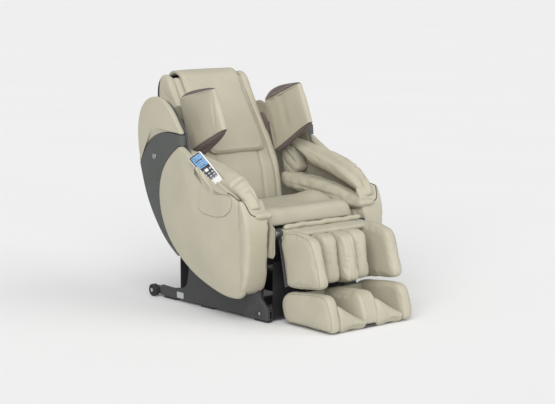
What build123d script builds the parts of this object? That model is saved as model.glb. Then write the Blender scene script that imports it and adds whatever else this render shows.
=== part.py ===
"""Massage chair: a reclining upholstered chair on a steel base, with roller massage in the
backrest, air pads in the arms and shoulders, and a lifting calf and foot unit.

Frame: +Z up, the sitter faces -Y and the sitter's right hand is on -X. The origin is on the
floor, under the centre of the chair's box. All lengths are millimetres.
"""

import math
import os

from build123d import *

os.makedirs("parts", exist_ok=True)

# ---------------------------------------------------------------- driving dimensions
HALF_WIDTH = 460.0  # outermost point of the side panels
FRONT, REAR = -658.0, 658.0

# Base
FOOT_HEIGHT = 12.0
RAIL_IN, RAIL_OUT, RAIL_TOP = 262.0, 296.0, 52.0
RAIL_FRONT, RAIL_REAR = -250.0, 560.0
TUBE_WALL = 3.0
BEAM_Y = (-225.0, 30.0, 430.0)
COVER_OUT = 310.0
COVER_SEAM = -112.0
SCREW_AT = (-205.0, 40.0)  # (y, z) of the front cover screw
WHEEL_Y, WHEEL_Z, WHEEL_R = 601.0, 33.0, 30.0
WHEEL_IN, WHEEL_OUT = 300.0, 326.0
AXLE_R = 5.0
FRONT_PANEL_Y, REAR_PANEL_Y = -246.0, 450.0  # inner faces of the end panels
PANEL_WALL = 5.0
ROCKER_PIVOT = (445.0, 110.0)  # (y, z) of the power switch's axis

# Pivots, as (y, z)
RECLINE_PIVOT = (268.0, 400.0)
LEG_PIVOT = (-290.0, 425.0)
PIN_R = 10.0
RUNNING = 0.06  # radial clearance of anything that turns or slides on a pin
UPRIGHT_IN, UPRIGHT_OUT = 272.0, 280.0
LUG_IN, LUG_OUT, LUG_R = 248.0, 260.0, 18.0

# Drives: each lever swings evenly about straight down
RECLINE_RANGE, RECLINE_LEVER, RECLINE_DRIVE_X = 45.0, 100.0, 60.0
LEG_RANGE, LEG_LEVER, LEG_DRIVE_X = 72.0, 80.0, -60.0
LEVER_THICKNESS, EYE_PIN_R, ROD_R = 8.0, 6.0, 9.0

# Seat and back
SEAT_HALF = 262.0
SEAT_FRONT, SEAT_REAR = -228.0, 232.0
BACK_HALF = 252.0
HEAD_HALF = 186.0
PAD_FRONT = [
    (262, 468), (274, 549), (293, 648), (331, 730), (377, 813), (434, 902), (470, 958), (538, 1062),
]
PAD_DEPTH = 40.0
TRACK_LOW, TRACK_HIGH = (350.0, 500.0), (598.0, 985.0)  # line of the guide rails
TRACK_X = 150.0
PAD_HALF = 218.0
SHELL_LINE = [
    (392, 440), (470, 560), (556, 740), (622, 920), (640, 1000), (637, 1046), (620, 1084), (592, 1106),
]
SHELL_WALL = 4.0
TUBE_X, TUBE_R = 206.0, 12.0
STUB_R = 9.0  # tubes that cross the back frame's side tubes, thinner than these
CROSS_TUBES = (6.0, 545.0)  # along the guide rails
WING_BOLT = 440.0  # along the guide rails
CARRIAGE_START, CARRIAGE_TRAVEL = 172.0, 210.0  # along the guide rails

# Calf and foot unit
SHIN_TILT = 12.0  # forward lean of the line that the foot unit slides along
LEG_HALF, FOOT_HALF, WING = 268.0, 262.0, 62.0
FOOT_TRAVEL = 110.0
SLIDE_X, SLIDE_R = 120.0, 9.0

# Arms
SHELL_IN, SHELL_OUT = 382.0, 395.0
BAND_OUT = 424.0
LOBE_OUT = 434.0
DOME_R, DOME_AT = 2000.0, (75.0, 400.0)  # the side panels are slices of a large ball
LOBE_R, LOBE_AT = 900.0, (400.0, 850.0)
ARM_IN, CORE_IN = 300.0, 314.0

# Side outlines, (y, z)
OVAL_REAR = [
    (235, 800), (304, 752), (373, 669), (399, 579), (389, 471), (311, 328), (225, 253), (139, 200),
    (20, 153), (-129, 120), (-205, 124),
]
OVAL_FRONT = [(-205, 124), (-243, 175), (-252, 300), (-250, 430), (-236, 505), (-200, 570), (-150, 606)]
OVAL_RIM = [(-150, 606), (-82, 640), (18, 686), (141, 745), (235, 800)]
LOBE_EDGE = [
    (232, 860), (274, 912), (309, 955), (350, 990), (399, 1014), (450, 1018), (520, 991), (562, 933),
    (578, 840), (570, 747), (556, 690),
]
BAND_EDGE = [(556, 690), (544, 650), (501, 533), (439, 430), (351, 330), (258, 264)]
BAND_TOP = [(556, 690), (520, 765), (424, 833), (310, 853), (232, 846)]

# Remote control
REMOTE_AT = (-420.0, 44.0, 700.0)
REMOTE_SIZE = (68.0, 200.0, 19.0)
REMOTE_TRAVEL = 80.0
POCKET_GAP, POCKET_HOLD, POCKET_VIEW = 3.0, 45.0, 60.0  # clearance, depth in the pocket, open space


# ---------------------------------------------------------------- helpers
def save(part, name):
    """Writes one finished piece as parts/NAME.step."""
    part.label = name
    export_step(part, f"parts/{name}.step")


def side_plane(x):
    """The plane across the chair at x, drawn on in (y, z)."""
    return Plane.YZ.offset(x)


def along(origin, direction, distance, out=0.0):
    """A point `distance` along a unit direction from origin, and `out` forward and square to it."""
    return (
        origin[0] + distance * direction[0] - out * direction[1],
        origin[1] + distance * direction[1] + out * direction[0],
    )


def swing(pivot, length, degrees):
    """The end of a lever that hangs from a pivot, turned towards +Y by degrees."""
    turn = math.radians(degrees)
    return (pivot[0] + length * math.sin(turn), pivot[1] - length * math.cos(turn))


TRACK_LENGTH = math.dist(TRACK_LOW, TRACK_HIGH)
TRACK = tuple((high - low) / TRACK_LENGTH for low, high in zip(TRACK_LOW, TRACK_HIGH))
TRACK_LEAN = math.degrees(math.atan2(TRACK[0], TRACK[1]))
SHIN = (math.sin(math.radians(SHIN_TILT)), math.cos(math.radians(SHIN_TILT)))
RECLINE_EYE = swing(RECLINE_PIVOT, RECLINE_LEVER, RECLINE_RANGE / 2)
LEG_EYE = swing(LEG_PIVOT, LEG_LEVER, LEG_RANGE / 2)


def shin(down, out):
    """The point `down` the shin from the knee pivot and `out` in front of it."""
    return along(LEG_PIVOT, SHIN, -down, out)


def back_line(depth, first=0, last=len(PAD_FRONT)):
    """The backrest's front line, moved back by depth."""
    points = []
    for index in range(first, last):
        before = PAD_FRONT[max(index - 1, 0)]
        after = PAD_FRONT[min(index + 1, len(PAD_FRONT) - 1)]
        run = math.dist(before, after)
        direction = ((after[0] - before[0]) / run, (after[1] - before[1]) / run)
        points.append(along(PAD_FRONT[index], direction, 0.0, -depth))
    return points


def outline(points):
    """Draws a face with straight sides through points, inside a sketch."""
    Polygon(*points, align=None)


def tube(start, end, radius):
    """A straight round bar between two points."""
    line = Edge.make_line(start, end)
    with BuildPart() as bar:
        with BuildSketch(Plane(origin=start, z_dir=line % 0)):
            Circle(radius)
        extrude(amount=line.length)
    return bar.part


# ---------------------------------------------------------------- base
def build_base_frame():
    """Two hollow rails and three crossbeams, welded."""
    middle = (FOOT_HEIGHT + RAIL_TOP) / 2
    with BuildPart() as frame:
        with BuildSketch(Plane.XZ.offset(-RAIL_FRONT)):
            with Locations(((RAIL_IN + RAIL_OUT) / 2, middle)):
                Rectangle(RAIL_OUT - RAIL_IN, RAIL_TOP - FOOT_HEIGHT)
                Rectangle(
                    RAIL_OUT - RAIL_IN - 2 * TUBE_WALL,
                    RAIL_TOP - FOOT_HEIGHT - 2 * TUBE_WALL,
                    mode=Mode.SUBTRACT,
                )
        extrude(amount=-(RAIL_REAR - RAIL_FRONT))
        mirror(about=Plane.YZ)
        for y in BEAM_Y:
            with BuildSketch(side_plane(-RAIL_IN)):
                with Locations((y, middle)):
                    Rectangle(40, 36)
                    Rectangle(40 - 2 * TUBE_WALL, 36 - 2 * TUBE_WALL, mode=Mode.SUBTRACT)
            extrude(amount=2 * RAIL_IN)
    save(frame.part, "base_frame")


def build_uprights():
    """Steel side plates that carry the seat and both pivots, with arms out to the armrests."""
    with BuildPart() as plates:
        with BuildSketch(side_plane(UPRIGHT_IN)):
            outline(
                [
                    (-190, RAIL_TOP), (290, RAIL_TOP), (292, 404), (280, 421), (256, 421), (240, 404),
                    (-205, 404), (-280, 442), (-302, 440), (-308, 418), (-292, 406), (-215, 340),
                ]
            )
            with Locations(RECLINE_PIVOT, LEG_PIVOT):
                Circle(PIN_R, mode=Mode.SUBTRACT)
        extrude(amount=UPRIGHT_OUT - UPRIGHT_IN)
        for y in (-140.0, 200.0):
            with BuildSketch(Plane.XZ.offset(-y)):
                with Locations(((UPRIGHT_OUT + CORE_IN) / 2, 306)):
                    Rectangle(CORE_IN - UPRIGHT_OUT, 34)
            extrude(amount=20, both=True)
        mirror(about=Plane.YZ)
    save(plates.part, "uprights")


def build_pivot_pins():
    """Four headed pins, pressed into the uprights."""
    with BuildPart() as pins:
        for pivot in (RECLINE_PIVOT, LEG_PIVOT):
            with BuildSketch(side_plane(LUG_IN - 2)):
                with Locations(pivot):
                    Circle(PIN_R)
            extrude(amount=UPRIGHT_OUT - LUG_IN + 2)
            with BuildSketch(side_plane(UPRIGHT_OUT)):
                with Locations(pivot):
                    Circle(PIN_R + 4)
            extrude(amount=5)
        chamfer(pins.faces().filter_by(Axis.X).sort_by(Axis.X)[-1].edges(), length=1)
        mirror(about=Plane.YZ)
    save(pins.part, "pivot_pins")


def build_covers():
    """Dark side covers with the fin that rises behind the arm, and the front corner covers."""
    with BuildPart() as covers:
        with BuildSketch(side_plane(RAIL_OUT)):
            with BuildLine():
                Polyline(
                    (338, 112), (322, 190), (290, 250), (COVER_SEAM + 1, 250), (COVER_SEAM + 1, 15),
                    (545, 15), (545, 66), (455, 62), (385, 74),
                )
                ThreePointArc((385, 74), (353, 86), (338, 112))
            make_face()
        extrude(amount=COVER_OUT - RAIL_OUT)
        chamfer(covers.faces().sort_by(Axis.X)[-1].edges(), length=2.5)
        mirror(about=Plane.YZ)
    save(covers.part, "side_covers")

    with BuildPart() as corners:
        with BuildSketch(side_plane(RAIL_OUT)):
            outline(
                [
                    (COVER_SEAM - 1, 15), (COVER_SEAM - 1, 250), (-200, 250), (-212, 118), (-267, 66),
                    (-267, 15),
                ]
            )
        extrude(amount=COVER_OUT - RAIL_OUT)
        chamfer(corners.faces().sort_by(Axis.X)[-1].edges(), length=2.5)
        with Locations(Plane(origin=(COVER_OUT, *SCREW_AT), x_dir=(0, 1, 0), z_dir=(1, 0, 0))):
            CounterBoreHole(radius=3, counter_bore_radius=10, counter_bore_depth=7)
        mirror(about=Plane.YZ)
    save(corners.part, "corner_covers")

    with BuildPart() as screws:
        with BuildSketch(side_plane(RAIL_OUT)):
            with Locations(SCREW_AT):
                Circle(3)
        extrude(amount=COVER_OUT - 7 - RAIL_OUT)
        with BuildSketch(side_plane(COVER_OUT - 7)):
            with Locations(SCREW_AT):
                Circle(8)
                RegularPolygon(3, 6, mode=Mode.SUBTRACT)
        extrude(amount=4)
        mirror(about=Plane.YZ)
    save(screws.part, "cover_screws")

    with BuildPart() as plate:
        with BuildSketch(side_plane(-COVER_OUT - 0.8)):
            with Locations((392, 36)):
                RectangleRounded(52, 30, 3)
        extrude(amount=0.8)
    save(plate.part, "rating_plate")


def build_end_panels():
    """The arched front panel and the rear panel with the mains inlet's window."""
    with BuildPart() as front:
        with BuildSketch(Plane.XZ.offset(-FRONT_PANEL_Y)):
            with BuildLine():
                Polyline((-260, 18), (-260, 285), (260, 285), (260, 18))
                ThreePointArc((260, 18), (0, 44), (-260, 18))
            make_face()
        extrude(amount=PANEL_WALL)
        fillet(front.edges().filter_by(Axis.Y).group_by(Axis.Z)[-1], radius=20)
    save(front.part, "front_panel")

    with BuildPart() as rear:
        with BuildSketch(Plane.XZ.offset(-REAR_PANEL_Y)):
            with Locations((0, 150)):
                RectangleRounded(520, 196, 14)
            with Locations((150, 110)):
                Rectangle(28.4, 20.4, mode=Mode.SUBTRACT)
            with Locations((200, 110)):
                Rectangle(20.8, 14.8, mode=Mode.SUBTRACT)
        extrude(amount=-4)
    save(rear.part, "rear_panel")


def build_feet_and_wheels():
    """Rubber feet under the rails, and two transport wheels behind them."""
    with BuildPart() as feet:
        with BuildSketch(Plane.XY):
            for y in (-201.5, 199.5, 496.5):
                with Locations(((RAIL_IN + RAIL_OUT) / 2, y)):
                    RectangleRounded(34, 96, 6)
        extrude(amount=FOOT_HEIGHT)
        chamfer(feet.faces().sort_by(Axis.Z)[0].edges(), length=1.5)
        mirror(about=Plane.YZ)
    save(feet.part, "floor_feet")

    with BuildPart() as brackets:
        with BuildSketch(side_plane(RAIL_IN + 6)):
            outline([(RAIL_REAR, 14), (RAIL_REAR, 50), (618, 50), (622, 34), (614, 14)])
            with Locations((WHEEL_Y, WHEEL_Z)):
                Circle(AXLE_R, mode=Mode.SUBTRACT)
        extrude(amount=RAIL_OUT - RAIL_IN - 6)
        mirror(about=Plane.YZ)
    save(brackets.part, "wheel_brackets")

    with BuildPart() as axles:
        with BuildSketch(side_plane(RAIL_IN + 4)):
            with Locations((WHEEL_Y, WHEEL_Z)):
                Circle(AXLE_R)
        extrude(amount=WHEEL_OUT + 1 - RAIL_IN - 4)
        with BuildSketch(side_plane(WHEEL_OUT + 1)):
            with Locations((WHEEL_Y, WHEEL_Z)):
                Circle(AXLE_R + 4)
        extrude(amount=3)
        mirror(about=Plane.YZ)
    save(axles.part, "wheel_axles")

    half = (WHEEL_OUT - WHEEL_IN) / 2
    for side, name in ((-1, "wheel_r"), (1, "wheel_l")):
        centre = (side * (WHEEL_IN + WHEEL_OUT) / 2, WHEEL_Y, WHEEL_Z)
        with BuildPart() as wheel:
            with BuildSketch(Plane(origin=centre, x_dir=(0, 0, 1), z_dir=(0, -1, 0))):
                outline(
                    [
                        (AXLE_R + RUNNING, -half), (14, -half), (16, -half + 4), (23, -half + 4),
                        (25, -half), (WHEEL_R - 2, -half), (WHEEL_R, -half + 2), (WHEEL_R, half - 2),
                        (WHEEL_R - 2, half), (25, half), (23, half - 4), (16, half - 4), (14, half),
                        (AXLE_R + RUNNING, half),
                    ]
                )
            revolve(axis=Axis(centre, (1, 0, 0)))
        save(wheel.part, name)


def build_power():
    """Control box, air pump, mains inlet and rocker switch."""
    with BuildPart() as box:
        with BuildSketch(Plane.XY.offset(RAIL_TOP)):
            with Locations((-150, 330)):
                RectangleRounded(180, 150, 8)
        extrude(amount=70)
        fillet(box.faces().sort_by(Axis.Z)[-1].edges(), radius=5)
    save(box.part, "control_box")

    with BuildPart() as pump:
        with BuildSketch(Plane.XY.offset(RAIL_TOP)):
            with Locations((120, 130)):
                RectangleRounded(150, 190, 20)
        extrude(amount=110)
        fillet(pump.faces().sort_by(Axis.Z)[-1].edges(), radius=15)
        with BuildSketch(Plane.XZ.offset(-35)):
            with GridLocations(50, 1, 2, 1):
                with Locations((120, 110)):
                    Circle(7)
        extrude(amount=25)
    save(pump.part, "air_pump")

    with BuildPart() as inlet:
        with BuildSketch(Plane.XZ.offset(-456)):
            with Locations((150, 110)):
                RectangleRounded(40, 26, 3)
        extrude(amount=2)
        with BuildSketch(Plane.XZ.offset(-454)):
            with Locations((150, 110)):
                Rectangle(28, 20)
        extrude(amount=28)
        with BuildSketch(Plane.XZ.offset(-456)):
            with Locations((150, 110)):
                Rectangle(24, 16)
        extrude(amount=22, mode=Mode.SUBTRACT)
        for x, z in ((143, 107), (157, 107), (150, 113)):
            with BuildSketch(Plane.XZ.offset(-434)):
                with Locations((x, z)):
                    Rectangle(2, 4)
            extrude(amount=-18)
    save(inlet.part, "power_inlet")

    with BuildPart() as rocker:
        with BuildSketch(side_plane(190.5)):
            with BuildLine():
                Polyline((440, 104), (451, 104), (457, 110), (455, 116), (440, 116), close=True)
            make_face()
        extrude(amount=19)
        with BuildSketch(side_plane(189.9)):
            with Locations(ROCKER_PIVOT):
                Circle(2.5)
        extrude(amount=20.2)
    save(rocker.part, "power_switch")


# ---------------------------------------------------------------- seat
def build_seat():
    """Pressed pan, cushion with a rounded front, and the cloth flaps at its front corners."""
    with BuildPart() as pan:
        with BuildSketch(Plane.XY.offset(405)):
            with Locations((0, 10)):
                RectangleRounded(2 * UPRIGHT_IN, 430, 10)
        extrude(amount=26)
        with BuildSketch(Plane.XY.offset(405)):
            with Locations((0, 10)):
                RectangleRounded(2 * UPRIGHT_IN - 5, 425, 8)
        extrude(amount=23, mode=Mode.SUBTRACT)
    save(pan.part, "seat_pan")

    with BuildPart() as cushion:
        with BuildSketch(side_plane(0)):
            outline(
                [
                    (SEAT_FRONT, 435), (SEAT_REAR, 435), (SEAT_REAR, 503), (60, 508), (-150, 522),
                    (-205, 527), (SEAT_FRONT, 512),
                ]
            )
        extrude(amount=SEAT_HALF, both=True)
        fillet(cushion.edges().filter_by(Axis.X).group_by(Axis.Z)[-1], radius=16)
        fillet(cushion.faces().sort_by(Axis.X)[-1].edges(), radius=14)
        fillet(cushion.faces().sort_by(Axis.X)[0].edges(), radius=14)
    save(cushion.part, "seat_cushion")

    with BuildPart() as flaps:
        with BuildSketch(side_plane(UPRIGHT_OUT + 6)):
            outline([(-238, 310), (-238, 474), (-262, 474), (-296, 448), (-300, 330), (-286, 305)])
        extrude(amount=6)
        mirror(about=Plane.YZ)
    save(flaps.part, "side_flaps")


# ---------------------------------------------------------------- arms
def dome(side, apex, radius, at, out=0.0):
    """A ball whose surface rounds a panel: it reaches apex over the point `at`, grown by out."""
    return Pos(side * (apex - radius), *at) * Sphere(radius + out, mode=Mode.PRIVATE)


def remote_plane(shift=0.0):
    """The remote's own plane: +Y up along it and +Z out of its face; moved along it by shift."""
    upward = Vector(-0.075, 0.783, 0.617).normalized()
    face = Vector(-0.645, -0.510, 0.568)
    across = upward.cross(face).normalized()
    return Plane(origin=Vector(*REMOTE_AT) + upward * shift, x_dir=across, z_dir=across.cross(upward))


def pocket_space():
    """The remote's pocket with its way out, and the open space in front of the remote's face."""
    width, length, depth = REMOTE_SIZE
    room = (width + 2 * POCKET_GAP, length + REMOTE_TRAVEL + 20 + 2 * POCKET_GAP)
    middle = (REMOTE_TRAVEL + 20) / 2
    slot = Box(*room, depth + 2 * POCKET_GAP, mode=Mode.PRIVATE)
    front = Box(room[0], room[1] - POCKET_HOLD, POCKET_VIEW, mode=Mode.PRIVATE)
    return [
        remote_plane(middle) * slot,
        remote_plane(middle + POCKET_HOLD / 2) * Pos(0, 0, POCKET_VIEW / 2) * front,
    ]


def outline_points(points, shrink=1.0, centre=(150.0, 480.0)):
    """Outline points drawn towards a centre."""
    return [tuple(c + (p - c) * shrink for p, c in zip(point, centre)) for point in points]


def oval_face(grow=1.0):
    """The side panel's outline as a face in (y, z), grown by a factor."""
    with BuildSketch() as oval:
        with BuildLine():
            for run in (OVAL_REAR, OVAL_FRONT, OVAL_RIM):
                Spline(*outline_points(run, grow))
        make_face()
    return oval.sketch


def build_side_shells():
    """The plastic plate that the side panels hang on, and the dark crescent between them."""
    with BuildPart() as shells:
        with BuildSketch(side_plane(SHELL_IN)):
            with BuildLine():
                edge = outline_points(LOBE_EDGE + BAND_EDGE[1:-1] + OVAL_REAR[6:], 0.975)
                front = outline_points(OVAL_FRONT[:-1], 0.975) + outline_points(OVAL_FRONT[-1:], 0.96)
                rim = outline_points(OVAL_RIM[:-1], 0.96)
                Spline(*edge)
                Spline(*front)
                Polyline(*rim, (205, 762), edge[0])
            make_face()
        extrude(amount=SHELL_OUT - SHELL_IN)
        mirror(about=Plane.YZ)
        add(pocket_space(), mode=Mode.SUBTRACT)
    save(shells.part, "side_shells")

    with BuildPart() as bands:
        with BuildSketch(side_plane(SHELL_OUT)):
            with BuildLine():
                Spline(*BAND_EDGE)
                Spline(*BAND_TOP)
                Polyline(BAND_EDGE[-1], (200, 400), (226, 780), BAND_TOP[-1])
            make_face()
            add(oval_face(grow=1.004), mode=Mode.SUBTRACT)
        extrude(amount=BAND_OUT - SHELL_OUT)
        mirror(about=Plane.YZ)
    save(bands.part, "side_bands")


def build_side_panels():
    """Domed cream panels: the large oval and the lobe behind the shoulder."""
    with BuildPart() as panels:
        with BuildSketch(side_plane(SHELL_OUT)):
            add(oval_face())
        extrude(amount=HALF_WIDTH - SHELL_OUT)
        add(dome(1, HALF_WIDTH, DOME_R, DOME_AT), mode=Mode.INTERSECT)
        mirror(about=Plane.YZ)
        add(pocket_space(), mode=Mode.SUBTRACT)
    save(panels.part, "side_panels")

    with BuildPart() as lobes:
        with BuildSketch(side_plane(SHELL_OUT)):
            with BuildLine():
                top = [(y, z + 1.5) for y, z in BAND_TOP]
                Spline(*LOBE_EDGE[:-1], top[0])
                Spline(*top)
                Line(top[-1], LOBE_EDGE[0])
            make_face()
        extrude(amount=LOBE_OUT - SHELL_OUT)
        add(dome(1, LOBE_OUT, LOBE_R, LOBE_AT), mode=Mode.INTERSECT)
        mirror(about=Plane.YZ)
    save(lobes.part, "lobe_panels")

    with BuildPart() as badges:
        with BuildSketch(side_plane(BAND_OUT)):
            with Locations((442, 730)):
                Circle(14)
        extrude(amount=2.5)
        chamfer(badges.faces().sort_by(Axis.X)[-1].edges(), length=1)
        mirror(about=Plane.YZ)
    save(badges.part, "badges")


def build_arms():
    """Arm cores, the padded lips above and below the hand slot, and the pocket's flap."""
    with BuildPart() as cores:
        with BuildSketch(side_plane(CORE_IN)):
            outline(
                [
                    (-236, 180), (-200, 136), (-120, 132), (20, 166), (139, 214), (225, 268), (300, 345),
                    (330, 430), (330, 476), (-240, 476),
                ]
            )
        extrude(amount=SHELL_IN - CORE_IN)
        mirror(about=Plane.YZ)
    save(cores.part, "arm_cores")

    with BuildPart() as lower:
        with BuildSketch(side_plane(UPRIGHT_IN)):
            outline(
                [
                    (-288, 512), (-262, 486), (-112, 482), (45, 500), (167, 520), (282, 531), (318, 560),
                    (318, 614), (200, 598), (79, 594), (-60, 568), (-180, 536), (-262, 528),
                ]
            )
        extrude(amount=SHELL_IN - 4 - UPRIGHT_IN)
        chamfer(lower.faces().sort_by(Axis.X)[0].edges(), length=9)
        mirror(about=Plane.YZ)
    save(lower.part, "arm_lower_pads")

    with BuildPart() as upper:
        with BuildSketch(side_plane(ARM_IN)):
            outline(
                [
                    (331, 782), (241, 768), (140, 752), (-9, 730), (-125, 696), (-215, 640), (-246, 590),
                    (-258, 540), (-225, 548), (-105, 592), (21, 634), (133, 668), (215, 735), (320, 762),
                ]
            )
        extrude(amount=SHELL_IN - ARM_IN)
        chamfer(upper.faces().sort_by(Axis.X)[0].edges(), length=9)
        with BuildSketch(side_plane(SHELL_IN)):
            outline(
                [
                    (202, 783), (141, 748), (18, 689), (-82, 643), (-150, 609), (-205, 574), (-215, 640),
                    (-125, 688), (-9, 722), (140, 752), (190, 790),
                ]
            )
        extrude(amount=BAND_OUT - SHELL_IN - 6)
        mirror(about=Plane.YZ)
        add(pocket_space(), mode=Mode.SUBTRACT)
    save(upper.part, "arm_upper_pads")

    with BuildPart() as flap:
        with BuildSketch(side_plane(-HALF_WIDTH)):
            outline(
                [(128, 722), (14, 664), (-74, 624), (-152, 588), (-140, 540), (-100, 500), (14, 502), (94, 522)]
            )
        extrude(amount=HALF_WIDTH - BAND_OUT + 10)
        add(dome(-1, HALF_WIDTH, DOME_R, DOME_AT, out=2.6), mode=Mode.INTERSECT)
        add(dome(-1, HALF_WIDTH, DOME_R, DOME_AT, out=0.2), mode=Mode.SUBTRACT)
        add(pocket_space(), mode=Mode.SUBTRACT)
    save(flap.part, "pocket_flap")


def build_remote():
    """Handheld control: body with a screen, a block of keys and one sprung start key."""
    width, length, depth = REMOTE_SIZE
    with BuildPart() as body:
        with BuildSketch(remote_plane().offset(-depth / 2)):
            RectangleRounded(width, length, 12)
        extrude(amount=depth)
        fillet(body.edges().filter_by(GeomType.LINE, reverse=True), radius=1.0)
        with BuildSketch(remote_plane().offset(depth / 2)):
            with Locations((0, 52)):
                Rectangle(52, 74)
        extrude(amount=-1.5, mode=Mode.SUBTRACT)
        with BuildSketch(remote_plane().offset(depth / 2)):
            with Locations((0, -8)):
                Circle(8)
        extrude(amount=-4.5, mode=Mode.SUBTRACT)
    save(body.part, "remote_body")

    with BuildPart() as screen:
        with BuildSketch(remote_plane().offset(depth / 2 - 1.5)):
            with Locations((0, 52)):
                Rectangle(51.6, 73.6)
        extrude(amount=1.3)
    save(screen.part, "remote_screen")

    with BuildPart() as key:
        with BuildSketch(remote_plane().offset(depth / 2 - 2.4)):
            with Locations((0, -8)):
                Circle(7.7)
        extrude(amount=3.4)
    save(key.part, "remote_start_key")


# ---------------------------------------------------------------- backrest
def drive_lever(pivot, eye, x):
    """A lever plate from a pivot tube to its eye, with the pin that the drive's fork holds."""
    with BuildPart() as lever:
        with BuildSketch(side_plane(x - LEVER_THICKNESS / 2)):
            with Locations(pivot, eye):
                Circle(13)
            middle = ((pivot[0] + eye[0]) / 2, (pivot[1] + eye[1]) / 2)
            turn = math.degrees(math.atan2(eye[1] - pivot[1], eye[0] - pivot[0]))
            with Locations(Location((*middle, 0), (0, 0, turn))):
                Rectangle(math.dist(pivot, eye), 26)
        extrude(amount=LEVER_THICKNESS)
        with BuildSketch(side_plane(x - 12)):
            with Locations(eye):
                Circle(EYE_PIN_R)
        extrude(amount=24)
    return lever.part


def build_back_frame():
    """Side tubes on the line of the guide rails, cross tubes, hinge lugs, wing arms, drive lever."""
    with BuildPart() as frame:
        with BuildSketch(side_plane(LUG_IN)):
            outline([(250, 392), (252, 420), (262, 458), (345, 522), (374, 498), (286, 392)])
            with Locations(RECLINE_PIVOT):
                Circle(LUG_R)
                Circle(PIN_R + RUNNING, mode=Mode.SUBTRACT)
        extrude(amount=LUG_OUT - LUG_IN)
        bolt = along(TRACK_LOW, TRACK, WING_BOLT)
        with BuildSketch(side_plane(BACK_HALF + 2)):
            outline([(384, 868), (406, 932), (572, 912), (568, 868)])
        extrude(amount=6)
        with BuildSketch(side_plane(TUBE_X)):
            with Locations(bolt):
                Circle(8)
        extrude(amount=BACK_HALF + 2 - TUBE_X)
        with BuildSketch(side_plane(TUBE_X)):
            with Locations(along(TRACK_LOW, TRACK, CROSS_TUBES[0])):
                Circle(STUB_R)
        extrude(amount=LUG_IN - TUBE_X)
        add(tube((TUBE_X, *along(TRACK_LOW, TRACK, -10)), (TUBE_X, *along(TRACK_LOW, TRACK, 560)), TUBE_R))
        mirror(about=Plane.YZ)
        for distance in CROSS_TUBES:
            y, z = along(TRACK_LOW, TRACK, distance)
            add(tube((-TUBE_X, y, z), (TUBE_X, y, z), STUB_R))
        add(tube((-LUG_IN, *RECLINE_PIVOT), (LUG_IN, *RECLINE_PIVOT), 12))
        for x in (-LUG_IN, LUG_IN):
            with Locations((x, *RECLINE_PIVOT)):
                Cylinder(PIN_R + RUNNING, 8, rotation=(0, 90, 0), mode=Mode.SUBTRACT)
        add(drive_lever(RECLINE_PIVOT, RECLINE_EYE, RECLINE_DRIVE_X))
    save(frame.part, "back_frame")


def build_guide_rails():
    """Two channels that the massage carriage runs in, and its fixed lifting screw."""
    middle = along(TRACK_LOW, TRACK, TRACK_LENGTH / 2)
    with BuildPart() as rails:
        for x in (-TRACK_X, TRACK_X):
            inner = math.copysign(6.0, -x)
            with Locations(Location((x, *middle), (-TRACK_LEAN, 0, 0))):
                Box(20, 26, TRACK_LENGTH - 70)
            with Locations(Location((x + inner, *middle), (-TRACK_LEAN, 0, 0))):
                Box(26, 19, TRACK_LENGTH - 60, mode=Mode.SUBTRACT)
    save(rails.part, "guide_rails")

    with BuildPart() as screw:
        foot = along(TRACK_LOW, TRACK, 17, -16)
        head = along(TRACK_LOW, TRACK, 534, -16)
        add(tube((0, *foot), (0, *head), 6))
    save(screw.part, "lift_screw")


def build_back_shell():
    """The curved rear shell and its two wall bumpers."""
    inside = []
    for index, point in enumerate(SHELL_LINE):
        before = SHELL_LINE[max(index - 1, 0)]
        after = SHELL_LINE[min(index + 1, len(SHELL_LINE) - 1)]
        run = math.dist(before, after)
        direction = ((after[0] - before[0]) / run, (after[1] - before[1]) / run)
        inside.append(along(point, direction, 0.0, SHELL_WALL))
    with BuildPart() as shell:
        with BuildSketch(side_plane(-BACK_HALF + 2)):
            with BuildLine():
                Spline(*SHELL_LINE)
                Spline(*inside)
                Line(SHELL_LINE[0], inside[0])
                Line(SHELL_LINE[-1], inside[-1])
            make_face()
        extrude(amount=2 * BACK_HALF - 4)
    save(shell.part, "back_shell")

    with BuildPart() as bumpers:
        with BuildSketch(Plane.XZ.offset(-REAR)):
            with GridLocations(400, 1, 2, 1):
                with Locations((0, 1030)):
                    Circle(10)
        extrude(amount=REAR - 640.5)
        chamfer(bumpers.faces().group_by(Axis.Y)[-1].edges(), length=2)
    save(bumpers.part, "wall_bumpers")


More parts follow.
